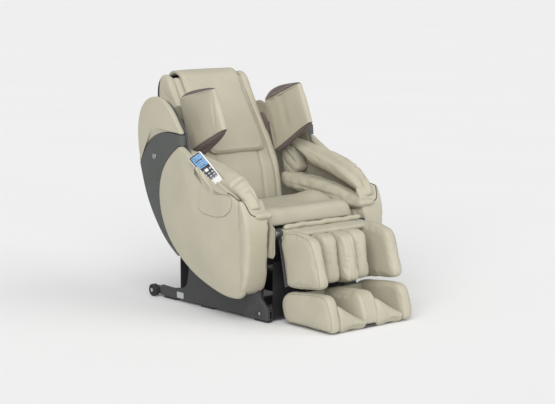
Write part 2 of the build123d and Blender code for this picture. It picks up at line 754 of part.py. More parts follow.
def build_back_pads():
    """Backrest cushion, side bolsters, the head pad draped over the top and the shoulder wings."""
    with BuildPart() as pad:
        with BuildSketch(side_plane(-PAD_HALF)):
            outline(PAD_FRONT + [(552, 1094), (584, 1100), (596, 1084)] + back_line(PAD_DEPTH)[::-1])
        extrude(amount=2 * PAD_HALF)
        chamfer(pad.faces().sort_by(Axis.X)[-1].edges(), length=5)
        chamfer(pad.faces().sort_by(Axis.X)[0].edges(), length=5)
    save(pad.part, "back_pad")

    inner_line = [(y - 6, z + 2) for y, z in SHELL_LINE[1:6]]
    with BuildPart() as bolsters:
        with BuildSketch(side_plane(PAD_HALF + 1.5)):
            outline(
                PAD_FRONT[1:] + [(554, 1090), (580, 1098), (606, 1084), (622, 1062)] + inner_line[::-1]
                + [(400, 548), (290, 534)]
            )
            with Locations(along(TRACK_LOW, TRACK, WING_BOLT)):
                Circle(8.5, mode=Mode.SUBTRACT)
        extrude(amount=BACK_HALF - PAD_HALF - 1.5)
        mirror(about=Plane.YZ)
    save(bolsters.part, "back_bolsters")

    with BuildPart() as head:
        with BuildSketch(side_plane(-HEAD_HALF)):
            outline(
                back_line(-1, first=3) + [(553, 1108), (592, 1113), (624, 1092)]
                + [(632, 1100), (596, 1125), (556, 1124)] + back_line(-17, first=3)[::-1]
            )
        extrude(amount=2 * HEAD_HALF)
    save(head.part, "head_pad")

    with BuildPart() as wings:
        with BuildSketch(side_plane(BACK_HALF + 3)):
            outline([(182, 1055), (100, 872), (118, 852), (322, 742), (344, 762), (424, 1002), (406, 1020)])
        extrude(amount=43)
        chamfer(wings.faces().filter_by(Axis.X).edges(), length=9)
        mirror(about=Plane.YZ)
    save(wings.part, "shoulder_wings")


def build_massage_unit():
    """Carriage with guide wheels and motor, rocking arms and the two pairs of rollers."""
    centre = along(TRACK_LOW, TRACK, CARRIAGE_START)
    pivot = along(TRACK_LOW, TRACK, CARRIAGE_START, 14)
    axles = [along(TRACK_LOW, TRACK, CARRIAGE_START + step, 30) for step in (55, -55)]
    tilt = (-TRACK_LEAN, 0, 0)

    with BuildPart() as carriage:
        with Locations(Location((0, *centre), tilt)):
            Box(264, 6, 56)
        with Locations(Location((0, *along(TRACK_LOW, TRACK, CARRIAGE_START, -16)), tilt)):
            Box(40, 27, 40)
            Cylinder(6 + RUNNING, 60, mode=Mode.SUBTRACT)
        with Locations(Location((75, *along(TRACK_LOW, TRACK, CARRIAGE_START, -24)), tilt)):
            Cylinder(21.5, 50)
        with Locations(Location((-75, *along(TRACK_LOW, TRACK, CARRIAGE_START, -24)), tilt)):
            Box(60, 42, 50)
        for x in (-63.0, 63.0):
            with Locations(Location((x, *along(TRACK_LOW, TRACK, CARRIAGE_START, 12)), tilt)):
                Box(5, 20, 20)
        add(tube((-66, *pivot), (66, *pivot), 6))
        for step in (-19, 19):
            place = along(TRACK_LOW, TRACK, CARRIAGE_START + step)
            for side in (-1, 1):
                add(tube((side * 130, *place), (side * 142, *place), 3))
                add(tube((side * 142, *place), (side * 156, *place), 9.2))
    save(carriage.part, "massage_carriage")

    with BuildPart() as arms:
        for x in (-46.0, 46.0):
            with BuildSketch(side_plane(x - 4)):
                outline(
                    [
                        along(pivot, TRACK, 12, -4), along(axles[0], TRACK, 8, -8), along(axles[0], TRACK, 2, 8),
                        along(pivot, TRACK, 0, 14), along(axles[1], TRACK, -2, 8),
                        along(axles[1], TRACK, -8, -8), along(pivot, TRACK, -12, -4),
                    ]
                )
                with Locations(pivot):
                    Circle(10)
                    Circle(6 + RUNNING, mode=Mode.SUBTRACT)
            extrude(amount=8)
        for axle in axles:
            add(tube((-76, *axle), (76, *axle), 4))
    save(arms.part, "roller_arms")

    for axle, name in zip(axles, ("upper_rollers", "lower_rollers")):
        with BuildPart() as rollers:
            with BuildSketch(side_plane(52)):
                with Locations(axle):
                    Circle(21)
                    Circle(4 + RUNNING, mode=Mode.SUBTRACT)
            extrude(amount=21)
            fillet(rollers.edges().filter_by(GeomType.CIRCLE).group_by(SortBy.RADIUS)[-1], radius=7)
            mirror(about=Plane.YZ)
        save(rollers.part, name)


# ---------------------------------------------------------------- calf and foot unit
def build_calf_unit():
    """Steel calf frame with slide sleeves, wings, ribbed divider, well pads and the knee roll."""
    with BuildPart() as frame:
        with BuildSketch(side_plane(-LEG_HALF + 4)):
            outline([shin(34, -4), shin(34, 0), shin(250, 0), shin(250, -4)])
        extrude(amount=2 * LEG_HALF - 8)
        with BuildSketch(side_plane(LUG_IN)):
            outline([shin(0, -17), shin(50, -12), shin(50, -4), shin(12, -3), shin(0, 0)])
            with Locations(LEG_PIVOT):
                Circle(LUG_R)
                Circle(PIN_R + RUNNING, mode=Mode.SUBTRACT)
        extrude(amount=LUG_OUT - LUG_IN)
        for down in (95.0, 225.0):
            with BuildSketch(side_plane(SLIDE_X - 14)):
                outline([shin(down - 16, -37), shin(down - 16, -4), shin(down + 16, -4), shin(down + 16, -37)])
            extrude(amount=28)
        mirror(about=Plane.YZ)
        for side in (-1, 1):
            sleeve = tube((side * SLIDE_X, *shin(30, -22)), (side * SLIDE_X, *shin(280, -22)), SLIDE_R + RUNNING)
            add(sleeve, mode=Mode.SUBTRACT)
        add(tube((-LUG_IN, *LEG_PIVOT), (LUG_IN, *LEG_PIVOT), 12))
        for x in (-LUG_IN, LUG_IN):
            with Locations((x, *LEG_PIVOT)):
                Cylinder(PIN_R + RUNNING, 8, rotation=(0, 90, 0), mode=Mode.SUBTRACT)
        for x in (-150.0, 150.0):
            with BuildSketch(side_plane(x - 5)):
                outline([shin(9, -10), shin(50, -14), shin(50, -3), shin(9, 0)])
            extrude(amount=10)
        add(drive_lever(LEG_PIVOT, LEG_EYE, LEG_DRIVE_X))
    save(frame.part, "calf_frame")

    with BuildPart() as wings:
        with BuildSketch(side_plane(LEG_HALF - WING)):
            outline(
                [
                    shin(2, 29), shin(22, 25), shin(31, 1), shin(254, 1), (-400, 178), (-574, 196), (-586, 216),
                    (-556, 320), (-526, 404), (-505, 425), (-425, 443), (-340, 441),
                ]
            )
        extrude(amount=WING)
        chamfer(wings.faces().sort_by(Axis.X)[-1].edges(), length=6)
        mirror(about=Plane.YZ)
    save(wings.part, "calf_wings")

    with BuildPart() as divider:
        with BuildSketch(side_plane(-32)):
            outline(
                [
                    shin(20, 27), shin(31, 1), shin(250, 1), (-400, 184), (-560, 202), (-570, 220),
                    (-540, 330), (-512, 396), (-490, 412), (-425, 424), (-335, 418),
                ]
            )
        extrude(amount=64)
    save(divider.part, "calf_divider")

    with BuildPart() as pads:
        with BuildSketch(side_plane(34)):
            outline([shin(18, 22), shin(31, 1), shin(248, 1), shin(248, 34), shin(22, 50)])
        extrude(amount=LEG_HALF - WING - 36)
        mirror(about=Plane.YZ)
    save(pads.part, "calf_pads")

    with BuildPart() as roll:
        add(tube((-244, -305, 453), (244, -305, 453), 13))
        fillet(roll.edges().filter_by(GeomType.CIRCLE), radius=5)
    save(roll.part, "knee_roll")


def build_foot_unit():
    """Sliding foot frame, wings, divider and the pads under the heels and soles."""
    with BuildPart() as frame:
        for side in (-1, 1):
            add(tube((side * SLIDE_X, *shin(45, -22)), (side * SLIDE_X, *shin(322, -22)), SLIDE_R))
        with BuildSketch(side_plane(-198)):
            outline([(-350, 9), (-350, 116), (-322, 116), (-318, 60), (-330, 9)])
        extrude(amount=396)
        with BuildSketch(side_plane(-198)):
            outline([(-632, 9), (-632, 13), (-340, 13), (-340, 9)])
        extrude(amount=396)
    save(frame.part, "foot_frame")

    with BuildPart() as wings:
        with BuildSketch(side_plane(FOOT_HALF - WING)):
            outline(
                [
                    (-336, 156), (-304, 130), (-296, 92), (-312, 36), (-334, 10), (-644, 6), (FRONT, 20),
                    (-652, 72), (-626, 152), (-602, 177), (-520, 178), (-400, 166),
                ]
            )
        extrude(amount=WING)
        chamfer(wings.faces().sort_by(Axis.X)[-1].edges(), length=6)
        mirror(about=Plane.YZ)
    save(wings.part, "foot_wings")

    with BuildPart() as divider:
        with BuildSketch(side_plane(-32)):
            outline([(-352, 150), (-352, 14), (-640, 14), (-644, 60), (-612, 142), (-588, 164), (-400, 158)])
        extrude(amount=64)
    save(divider.part, "foot_divider")

    with BuildPart() as pads:
        with BuildSketch(side_plane(34)):
            outline([(-642, 14), (-646, 40), (-600, 44), (-388, 42), (-388, 14)])
            outline([(-352, 44), (-352, 148), (-372, 148), (-386, 44)])
        extrude(amount=FOOT_HALF - WING - 36)
        mirror(about=Plane.YZ)
    save(pads.part, "foot_pads")


# ---------------------------------------------------------------- drives
def build_drives():
    """Electric cylinders under the seat pan, with slotted forks that hold the levers' pins."""
    drives = (
        ("recline", RECLINE_EYE, RECLINE_LEVER, RECLINE_RANGE, RECLINE_DRIVE_X, (-40, 190), 60, -1),
        ("leg", LEG_EYE, LEG_LEVER, LEG_RANGE, LEG_DRIVE_X, (-160, 60), 40, 1),
    )
    for name, eye, lever, swing_range, x, (front, rear), rod_end, way in drives:
        rise = lever * (1 - math.cos(math.radians(swing_range / 2)))
        z = eye[1] - rise / 2
        fork_root = eye[0] + way * 28
        with BuildPart() as body:
            with Locations((x, (front + rear) / 2, z)):
                Box(42, rear - front, 42)
                Cylinder(ROD_R + RUNNING, rear - front + 2, rotation=(90, 0, 0), mode=Mode.SUBTRACT)
            with Locations((x, 20, (z + 21 + 428) / 2)):
                Box(26, 40, 428 - z - 21)
            with Locations((x - math.copysign(46, x), 20, z)):
                Box(50, 30, 30)
            with Locations((x - math.copysign(50, x), 20, z)):
                Cylinder(19, 120, rotation=(90, 0, 0))
        save(body.part, f"{name}_drive")

        with BuildPart() as rod:
            add(tube((x, fork_root, z), (x, rod_end, z), ROD_R))
            with Locations((x, fork_root, z)):
                Box(24, 12, 20)
            for side in (-1, 1):
                with Locations((x + side * 9, eye[0] + way * 8, z)):
                    Box(6, 48, rise + 28)
                with Locations((x + side * 9, eye[0], z)):
                    Box(8, 2 * EYE_PIN_R + 3, rise + 2 * EYE_PIN_R + 3, mode=Mode.SUBTRACT)
        save(rod.part, f"{name}_rod")


if __name__ == "__main__":
    build_base_frame()
    build_uprights()
    build_pivot_pins()
    build_covers()
    build_end_panels()
    build_feet_and_wheels()
    build_power()
    build_seat()
    build_side_shells()
    build_side_panels()
    build_arms()
    build_remote()
    build_back_frame()
    build_guide_rails()
    build_back_shell()
    build_back_pads()
    build_massage_unit()
    build_calf_unit()
    build_foot_unit()
    build_drives()
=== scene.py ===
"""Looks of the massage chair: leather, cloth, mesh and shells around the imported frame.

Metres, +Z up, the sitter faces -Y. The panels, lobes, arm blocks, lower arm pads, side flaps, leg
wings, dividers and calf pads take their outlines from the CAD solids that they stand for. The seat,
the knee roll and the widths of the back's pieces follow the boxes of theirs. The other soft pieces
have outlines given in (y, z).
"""

import math

import bmesh
import bpy
import numpy as np
from mathutils import Matrix, Vector, noise
from mathutils.bvhtree import BVHTree


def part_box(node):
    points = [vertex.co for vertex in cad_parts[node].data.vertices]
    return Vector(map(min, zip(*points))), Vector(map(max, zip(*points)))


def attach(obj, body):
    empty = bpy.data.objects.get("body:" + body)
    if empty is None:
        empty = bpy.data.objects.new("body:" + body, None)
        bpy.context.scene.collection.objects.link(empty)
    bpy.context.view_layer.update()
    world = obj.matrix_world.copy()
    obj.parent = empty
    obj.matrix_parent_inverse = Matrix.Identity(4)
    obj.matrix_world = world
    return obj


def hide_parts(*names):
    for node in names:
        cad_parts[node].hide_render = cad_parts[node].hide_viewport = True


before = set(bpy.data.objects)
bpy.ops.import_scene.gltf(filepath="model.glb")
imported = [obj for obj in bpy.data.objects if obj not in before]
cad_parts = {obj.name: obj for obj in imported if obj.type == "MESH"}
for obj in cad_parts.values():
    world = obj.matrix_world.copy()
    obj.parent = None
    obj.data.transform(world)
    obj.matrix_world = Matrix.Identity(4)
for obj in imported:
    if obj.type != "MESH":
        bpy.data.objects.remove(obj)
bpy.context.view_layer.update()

MM = 0.001
SIDES = ((-1, "right"), (1, "left"))  # the sitter's right hand is on -X
CLOTH_FRAMES = 20  # length of each cover's simulation
STITCH_RADIUS = 0.0006

# Colours, linear
CREAM = (0.426, 0.398, 0.308)
# The cream cloth darkened: painted shade for cloth on shaded inner faces.
SHADED_CREAM_CLOTH = (0.34, 0.312, 0.228)
SHELL_GREY = (0.052, 0.056, 0.053)
BASE_GREY = (0.036, 0.037, 0.039)


# ---------------------------------------------------------------- outlines and meshes
def unit(vector):
    """The vector at length 1."""
    vector = np.asarray(vector, float)
    return vector / np.linalg.norm(vector)


def resample(points, count, closed=True):
    """Evenly spaced points along a line."""
    points = np.asarray(points, float)
    if closed:
        points = np.vstack([points, points[:1]])
    steps = np.linalg.norm(np.diff(points, axis=0), axis=1)
    length = np.concatenate([[0], np.cumsum(steps)])
    wanted = np.linspace(0, length[-1], count + 1)[:-1] if closed else np.linspace(0, length[-1], count)
    return np.column_stack([np.interp(wanted, length, points[:, k]) for k in range(points.shape[1])])


def outline(points, count, softness):
    """A closed ring through given points, with rounded corners."""
    return soften(resample(points, count), softness)


def soften(ring, softness):
    """A closed ring of even points, its corners rounded over about `softness` metres."""
    step = np.linalg.norm(np.diff(np.vstack([ring, ring[:1]]), axis=0), axis=1).mean()
    keep = np.exp(-2 * (math.pi * softness / step * np.fft.fftfreq(len(ring))) ** 2)
    return np.column_stack([np.fft.ifft(np.fft.fft(ring[:, k]) * keep).real for k in range(ring.shape[1])])


def smooth_line(points, count):
    """An open line through given points, rounded by a Catmull-Rom curve."""
    points = [Vector(p) for p in points]
    points = [2 * points[0] - points[1]] + points + [2 * points[-1] - points[-2]]
    line = []
    for a, b, c, d in zip(points, points[1:], points[2:], points[3:]):
        for t in np.linspace(0, 1, 12, endpoint=False):
            line.append(0.5 * (2 * b + (c - a) * t + (2 * a - 5 * b + 4 * c - d) * t**2
                               + (3 * b - a - 3 * c + d) * t**3))
    line.append(points[-2])
    return resample(line, count, closed=False)


def area_sign(ring):
    """Positive for a ring that runs anticlockwise."""
    y, z = ring[:, 0], ring[:, 1]
    return np.sign(np.sum(y * np.roll(z, -1) - np.roll(y, -1) * z))


def profile(node, x, softness=0.012, count=120):
    """The outline in (y, z) of a CAD node's flat face at x, with rounded corners."""
    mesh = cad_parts[node].data
    used = {}
    for face in mesh.polygons:
        corners = [mesh.vertices[i].co for i in face.vertices]
        if all(abs(c.x - x) < 2e-5 for c in corners):
            keys = [(round(c.y, 5), round(c.z, 5)) for c in corners]
            for a, b in zip(keys, keys[1:] + keys[:1]):
                used[(a, b)] = used.get((a, b), 0) + 1
    follow = {a: b for a, b in used if (b, a) not in used}
    loops = []
    while follow:
        start, point = follow.popitem()
        loop = [start]
        while point != start and point in follow:
            loop.append(point)
            point = follow.pop(point)
        loops.append(loop)
    ring = resample(max(loops, key=len), count)
    if area_sign(ring) < 0:
        ring = ring[::-1]
    return soften(ring, softness)


def outward(ring):
    """Unit normals of an anticlockwise ring in (y, z), pointing out."""
    along = np.roll(ring, -1, axis=0) - np.roll(ring, 1, axis=0)
    along /= np.linalg.norm(along, axis=1)[:, None]
    return np.column_stack([along[:, 1], -along[:, 0]])


def linked(name, mesh, material):
    """A new object in the scene that holds a mesh of one material."""
    piece = bpy.data.objects.new(name, mesh)
    bpy.context.scene.collection.objects.link(piece)
    mesh.materials.append(material)
    return piece


def add_mesh(name, vertices, faces, material):
    """A smooth-shaded mesh object, its faces turned outwards."""
    mesh = bpy.data.meshes.new(name)
    mesh.from_pydata([tuple(map(float, v)) for v in vertices], [], faces)
    work = bmesh.new()
    work.from_mesh(mesh)
    bmesh.ops.recalc_face_normals(work, faces=work.faces)
    work.to_mesh(mesh)
    work.free()
    mesh.polygons.foreach_set("use_smooth", [True] * len(mesh.polygons))
    return linked(name, mesh, material)


def loft(name, rings, material):
    """Skins a row of closed rings that have the same number of points, and closes both ends."""
    count = len(rings[0])
    faces = []
    for row in range(len(rings) - 1):
        for k in range(count):
            a, b = row * count + k, row * count + (k + 1) % count
            faces.append((a, b, b + count, a + count))
    base = (len(rings) - 1) * count
    first, last = base + count, base + count + 1
    for k in range(count):
        faces.append((first, (k + 1) % count, k))
        faces.append((last, base + k, base + (k + 1) % count))
    vertices = np.vstack([*rings, rings[0].mean(0), rings[-1].mean(0)])
    return add_mesh(name, vertices, faces, material)


def slab(name, ring, x0, x1, edge, material, crown=(0.0, 0.0)):
    """A padded slab: an outline in (y, z) carried from x0 to x1, with rounded edges and crowned faces."""
    ring = ring if area_sign(ring) > 0 else ring[::-1]
    normal, way = outward(ring), math.copysign(1.0, x1 - x0)
    centre = ring.mean(0)

    def row(inset, x, scale=1.0):
        flat = centre + (ring - normal * inset - centre) * scale
        return np.column_stack([np.full(len(flat), x), flat])

    turns = np.linspace(0, math.pi / 2, 6)[1:]
    shares = np.linspace(0, 1, 9)[1:]
    rows = [row(edge, x0 - way * crown[0] * (1 - s * s), s) for s in shares]
    rows += [row(edge * (1 - math.sin(a)), x0 + way * edge * (1 - math.cos(a))) for a in turns]
    for share in (0.25, 0.5, 0.75):
        x = x0 + way * edge + (x1 - x0 - 2 * way * edge) * share
        rows.append(row(0, x))
    rows += [row(edge * (1 - math.sin(a)), x1 - way * edge * (1 - math.cos(a))) for a in turns[::-1]]
    rows += [row(edge, x1 + way * crown[1] * (1 - s * s), s) for s in shares[::-1]]
    return loft(name, rows, material)


def tube(name, line, radius, material, segments=8):
    """A round tube along a line of points."""
    line = np.asarray(line, float)
    rings, side = [], None
    for k, point in enumerate(line):
        forward = unit(line[min(k + 1, len(line) - 1)] - line[max(k - 1, 0)])
        if side is None:
            side = np.cross(forward, (0.31, 0.17, 0.93))
        side = unit(side - forward * (side @ forward))
        lift = np.cross(forward, side)
        turn = np.linspace(0, 2 * math.pi, segments, endpoint=False)[:, None]
        rings.append(point + radius * (np.cos(turn) * side + np.sin(turn) * lift))
    return loft(name, rings, material)


def mirrored(piece, name):
    """A copy of a piece on the other side of the chair."""
    copy = piece.copy()
    copy.data = piece.data.copy()
    copy.name = name
    copy.data.name = name
    copy.data.transform(Matrix.Scale(-1, 4, (1, 0, 0)))
    copy.data.flip_normals()
    bpy.context.scene.collection.objects.link(copy)
    return copy


def points_of(piece):
    """The vertices of a piece as an array."""
    co = np.empty(len(piece.data.vertices) * 3)
    piece.data.vertices.foreach_get("co", co)
    return co.reshape(-1, 3)


def set_points(piece, co):
    """Puts the vertices of a piece back."""
    piece.data.vertices.foreach_set("co", np.asarray(co, float).ravel())
    piece.data.update()


def normals_of(piece):
    """The vertex normals of a piece."""
    out = np.empty(len(piece.data.vertices) * 3)
    piece.data.vertices.foreach_get("normal", out)
    return out.reshape(-1, 3)


def apply_modifiers(piece):
    """Turns what the modifiers make into the piece's own mesh."""
    graph = bpy.context.evaluated_depsgraph_get()
    made = bpy.data.meshes.new_from_object(piece.evaluated_get(graph))
    piece.modifiers.clear()
    piece.data = made
    made.polygons.foreach_set("use_smooth", [True] * len(made.polygons))


def remesh(piece, voxel, smoothing=6):
    """Even quads all over, with the steps smoothed out."""
    grid = piece.modifiers.new("even", "REMESH")
    grid.mode = "VOXEL"
    grid.voxel_size = voxel
    relax = piece.modifiers.new("relax", "SMOOTH")
    relax.factor = 0.5
    relax.iterations = smoothing
    apply_modifiers(piece)


def inflate(piece, voxel=0.006, pressure=4.0, cap=0.010, smoothing=6):
    """Swells a closed cover by cloth simulation, so that it wrinkles and crowns as a stuffed one does."""
    remesh(piece, voxel, smoothing)
    rest = points_of(piece)
    cloth = piece.modifiers.new("cover", "CLOTH")
    cloth.settings.quality = 4
    cloth.settings.mass = 0.3
    cloth.settings.tension_stiffness = 25
    cloth.settings.compression_stiffness = 20
    cloth.settings.shear_stiffness = 10
    cloth.settings.bending_stiffness = 1.0
    cloth.settings.use_pressure = True
    cloth.settings.uniform_pressure_force = pressure
    cloth.settings.effector_weights.gravity = 0
    cloth.collision_settings.use_collision = False
    scene = bpy.context.scene
    for step in range(1, CLOTH_FRAMES + 1):
        scene.frame_set(step)
    graph = bpy.context.evaluated_depsgraph_get()
    swollen = points_of(piece.evaluated_get(graph))
    piece.modifiers.clear()
    scene.frame_set(1)
    moved = swollen - rest
    length = np.linalg.norm(moved, axis=1)[:, None]
    set_points(piece, rest + moved * np.minimum(1, cap / np.maximum(length, 1e-9)))


def ripple(piece, size, height, seed=0.0):
    """Uneven stuffing: shallow lumps of about `size` metres."""
    co, normal = points_of(piece), normals_of(piece)
    lift = [noise.noise(Vector(c) / size + Vector((seed, 0, -seed))) for c in co]
    set_points(piece, co + normal * (np.array(lift) * height)[:, None])


def fold_gap(co, start, end, width):
    """Each point's share along a fold, and its distance from it in widths."""
    a, b = np.array(start), np.array(end)
    share = np.clip((co - a) @ (b - a) / ((b - a) @ (b - a)), 0, 1)
    return share, np.linalg.norm(co - (a + share[:, None] * (b - a)), axis=1) / width


def crease(piece, folds):
    """Presses folds into a piece: each is (start, end, width, depth), with a soft ridge beside it."""
    co, normal = points_of(piece), normals_of(piece)
    lift = np.zeros(len(co))
    for start, end, width, depth in folds:
        share, gap = fold_gap(co, start, end, width)
        fade = np.sqrt(np.clip(4 * share * (1 - share), 0, 1)) * 0.85 + 0.15
        lift -= depth * fade * (1 - 1.1 * gap**2) * np.exp(-(gap**2))
    set_points(piece, co + normal * lift[:, None])


def channel(piece, line, width, depth):
    """Presses one continuous channel of even depth along a line of points."""
    co, normal = points_of(piece), normals_of(piece)
    lift = np.zeros(len(co))
    for start, end in zip(line, line[1:]):
        gap = fold_gap(co, start, end, width)[1]
        lift = np.minimum(lift, -depth * np.exp(-(gap**2)))
    set_points(piece, co + normal * lift[:, None])


def ribs(piece, lines, width=0.0055, depth=0.004):
    """Presses sewn channels at x = each line all round a piece."""
    co, normal = points_of(piece), normals_of(piece)
    lift = np.zeros(len(co))
    for x in lines:
        lift -= depth * np.exp(-(((co[:, 0] - x) / width) ** 2))
    facing = np.sqrt(np.clip(1 - normal[:, 0] ** 2, 0, 1))
    set_points(piece, co + normal * (lift * facing)[:, None])


def finer(piece):
    """One subdivision, applied."""
    smooth = piece.modifiers.new("finer", "SUBSURF")
    smooth.levels = smooth.render_levels = 1
    apply_modifiers(piece)


def cut_box(piece, middle, axes, size):
    """Cuts a box, given along three directions, out of a piece."""
    cube = [(sx, sy, sz) for sx in (-1, 1) for sy in (-1, 1) for sz in (-1, 1)]
    corners = []
    for signs in cube:
        corners.append(middle + sum(s * d / 2 * np.array(a) for s, d, a in zip(signs, size, axes)))
    faces = [(0, 1, 3, 2), (4, 6, 7, 5), (0, 4, 5, 1), (2, 3, 7, 6), (0, 2, 6, 4), (1, 5, 7, 3)]
    cutter = add_mesh("cutter", corners, faces, LEATHER)
    cut = piece.modifiers.new("cut", "BOOLEAN")
    cut.operation = "DIFFERENCE"
    cut.object = cutter
    apply_modifiers(piece)
    bpy.data.objects.remove(cutter)


def tree_of(piece):
    """A search tree over the faces of a piece."""
    faces = [p.vertices for p in piece.data.polygons]
    return BVHTree.FromPolygons([v.co for v in piece.data.vertices], faces)


def surface_line(piece, points, direction, lift=0.0):
    """Drops a line of points onto a piece along a direction."""
    tree = tree_of(piece)
    direction = Vector(direction).normalized()
    line = []
    for point in points:
        hit, normal, _, _ = tree.ray_cast(Vector(point) - direction * 0.5, direction, 1.2)
        if hit is not None:
            line.append(hit + normal * lift)
    return [tuple(p) for p in line]


def seam(name, piece, points, direction, material, radius=0.0011, count=60):
    """A sewn seam on a piece: a thin raised welt along the line."""
    line = surface_line(piece, smooth_line(points, count), direction, lift=radius * 0.1)
    return tube(name, line, radius, material, segments=6)


def dashes(name, ends, length, material):
    """Short stitches, one between each pair of points."""
    work = bmesh.new()
    for a, b in zip(ends[::2], ends[1::2]):
        turn = Vector(unit(b - a)).to_track_quat("Z", "Y").to_matrix().to_4x4()
        bmesh.ops.create_cone(work, cap_ends=True, segments=5, radius1=STITCH_RADIUS, radius2=STITCH_RADIUS,
                              depth=length, matrix=Matrix.Translation((a + b) / 2) @ turn)
    mesh = bpy.data.meshes.new(name)
    work.to_mesh(mesh)
    work.free()
    return linked(name, mesh, material)


def stitches(name, piece, points, direction, material, pitch=0.0055, count=160):
    """A row of small stitches along a line on a piece."""
    line = np.array(surface_line(piece, smooth_line(points, count), direction, lift=0.0004))
    length = np.linalg.norm(np.diff(line, axis=0), axis=1).sum()
    ends = resample(line, max(4, int(length / pitch)) * 2, closed=False)
    return dashes(name, ends, pitch * 0.55, material)


def settle(piece, body, slot, replaced=(), fill=None):
    """Puts a finished piece on its body and hides the CAD solids it stands for."""
    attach(piece, body)
    if replaced:
        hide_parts(*replaced)
    return piece


def settle_both(left, *facts, **more):
    """Settles a left piece and its mirror image on the sitter's right."""
    for piece in (left, mirrored(left, left.name.replace("_left", "_right"))):
        settle(piece, *facts, **more)


# ---------------------------------------------------------------- materials
class Finish:
    """A Principled material and its node tree."""

    def __init__(self, name, **values):
        self.material = bpy.data.materials.new(name)
        self.material.use_nodes = True
        self.nodes = self.material.node_tree.nodes
        self.links = self.material.node_tree.links
        self.shader = self.nodes["Principled BSDF"]
        self.place = self.nodes.new("ShaderNodeTexCoord").outputs["Object"]
        for socket, value in values.items():
            self.shader.inputs[socket.replace("_", " ")].default_value = value

    def noise(self, scale, detail=3.0, stretch=(1, 1, 1)):
        """Noise from 0 to 1 over the object."""
        mapping = self.nodes.new("ShaderNodeMapping")
        mapping.inputs["Scale"].default_value = stretch
        self.links.new(self.place, mapping.inputs["Vector"])
        texture = self.nodes.new("ShaderNodeTexNoise")
        texture.inputs["Scale"].default_value = scale
        texture.inputs["Detail"].default_value = detail
        self.links.new(mapping.outputs["Vector"], texture.inputs["Vector"])
        return texture.outputs["Fac"]

    def cells(self, scale):
        """Distance to the edges of a field of cells."""
        texture = self.nodes.new("ShaderNodeTexVoronoi")
        texture.feature = "DISTANCE_TO_EDGE"
        texture.inputs["Scale"].default_value = scale
        self.links.new(self.place, texture.inputs["Vector"])
        return texture.outputs["Distance"]

    def bands(self, scale, turn):
        """Waves that run across a turned axis."""
        mapping = self.nodes.new("ShaderNodeMapping")
        mapping.inputs["Rotation"].default_value = turn
        self.links.new(self.place, mapping.inputs["Vector"])
        texture = self.nodes.new("ShaderNodeTexWave")
        texture.inputs["Scale"].default_value = scale
        texture.inputs["Distortion"].default_value = 0.4
        self.links.new(mapping.outputs["Vector"], texture.inputs["Vector"])
        return texture.outputs["Fac"]

    def blend(self, share, low, high, start=0.3, stop=0.7):
        """A colour from low to high as the share goes from start to stop."""
        ramp = self.nodes.new("ShaderNodeValToRGB")
        ramp.color_ramp.elements[0].position = start
        ramp.color_ramp.elements[0].color = (*low, 1)
        ramp.color_ramp.elements[1].position = stop
        ramp.color_ramp.elements[1].color = (*high, 1)
        self.links.new(share, ramp.inputs["Fac"])
        return ramp.outputs["Color"]

    def multiply(self, a, b):
        """The product of two colours."""
        mix = self.nodes.new("ShaderNodeMix")
        mix.data_type = "RGBA"
        mix.blend_type = "MULTIPLY"
        mix.inputs["Factor"].default_value = 1.0
        self.links.new(a, mix.inputs["A"])
        self.links.new(b, mix.inputs["B"])
        return mix.outputs["Result"]

    def bump(self, height, distance, strength, under=None):
        """A bumped normal, over another bump where one is given."""
        node = self.nodes.new("ShaderNodeBump")
        node.inputs["Strength"].default_value = strength
        node.inputs["Distance"].default_value = distance
        self.links.new(height, node.inputs["Height"])
        if under is not None:
            self.links.new(under, node.inputs["Normal"])
        return node.outputs["Normal"]

    def roughness(self, share, low, high):
        """Roughness that varies between two values."""
        spread = self.nodes.new("ShaderNodeMapRange")
        spread.inputs["To Min"].default_value = low
        spread.inputs["To Max"].default_value = high
        self.links.new(share, spread.inputs["Value"])
        self.links.new(spread.outputs["Result"], self.shader.inputs["Roughness"])

    def wear(self, colour, worn, start=0.52, stop=0.60):
        """Convex edges rubbed towards the `worn` tint."""
        edges = self.nodes.new("ShaderNodeNewGeometry").outputs["Pointiness"]
        tint = self.blend(edges, (1, 1, 1), worn, start, stop)
        return self.multiply(colour, tint)

    def finish(self, colour, normal=None):
        """Links the colour and the normal, and gives back the material."""
        self.links.new(colour, self.shader.inputs["Base Color"])
        if normal is not None:
            self.links.new(normal, self.shader.inputs["Normal"])
        return self.material


def tones(colour, spread):
    """A darker and a lighter tone of a colour."""
    return [tuple(c * (1 - spread) for c in colour), tuple(min(1, c * (1 + spread)) for c in colour)]


def leather(name, colour, grain=520.0, depth=0.00035):
    """Soft synthetic leather: pebbled grain, faint creases and a slightly uneven dye."""
    f = Finish(name, Roughness=0.5, IOR=1.45, Sheen_Weight=0.06, Sheen_Roughness=0.5)
    low, high = tones(colour, 0.045)
    dye = f.blend(f.noise(7.0, 4.0), low, high)
    handled = f.blend(f.noise(1.7, 2.0), (0.965, 0.965, 0.955), (1, 1, 1))
    pebbles = f.bump(f.cells(grain), depth, 0.5)
    wrinkles = f.bump(f.noise(95.0, 6.0), 0.0012, 0.32, under=pebbles)
    f.roughness(f.noise(40.0, 5.0), 0.42, 0.60)
    return f.finish(f.wear(f.multiply(dye, handled), (1.05, 1.05, 1.04)), wrinkles)


def woven(name, low, high, scale, depth):
    """Open mesh or knit: two crossing sets of threads."""
    f = Finish(name, Roughness=0.85, Sheen_Weight=0.25, Sheen_Roughness=0.4)
    gap, full = (0.25, 0.25, 0.25), (1, 1, 1)
    warp = f.bands(scale, (0.2, 0.5, 0.785))
    weft = f.bands(scale, (0.6, -0.4, -0.785))
    threads = f.multiply(f.blend(warp, gap, full), f.blend(weft, gap, full))
    worn = f.blend(f.noise(12.0), (0.92, 0.92, 0.92), full)
    cloth = f.multiply(f.blend(threads, low, high, 0.1, 0.9), worn)
    return f.finish(cloth, f.bump(threads, depth, 0.8))


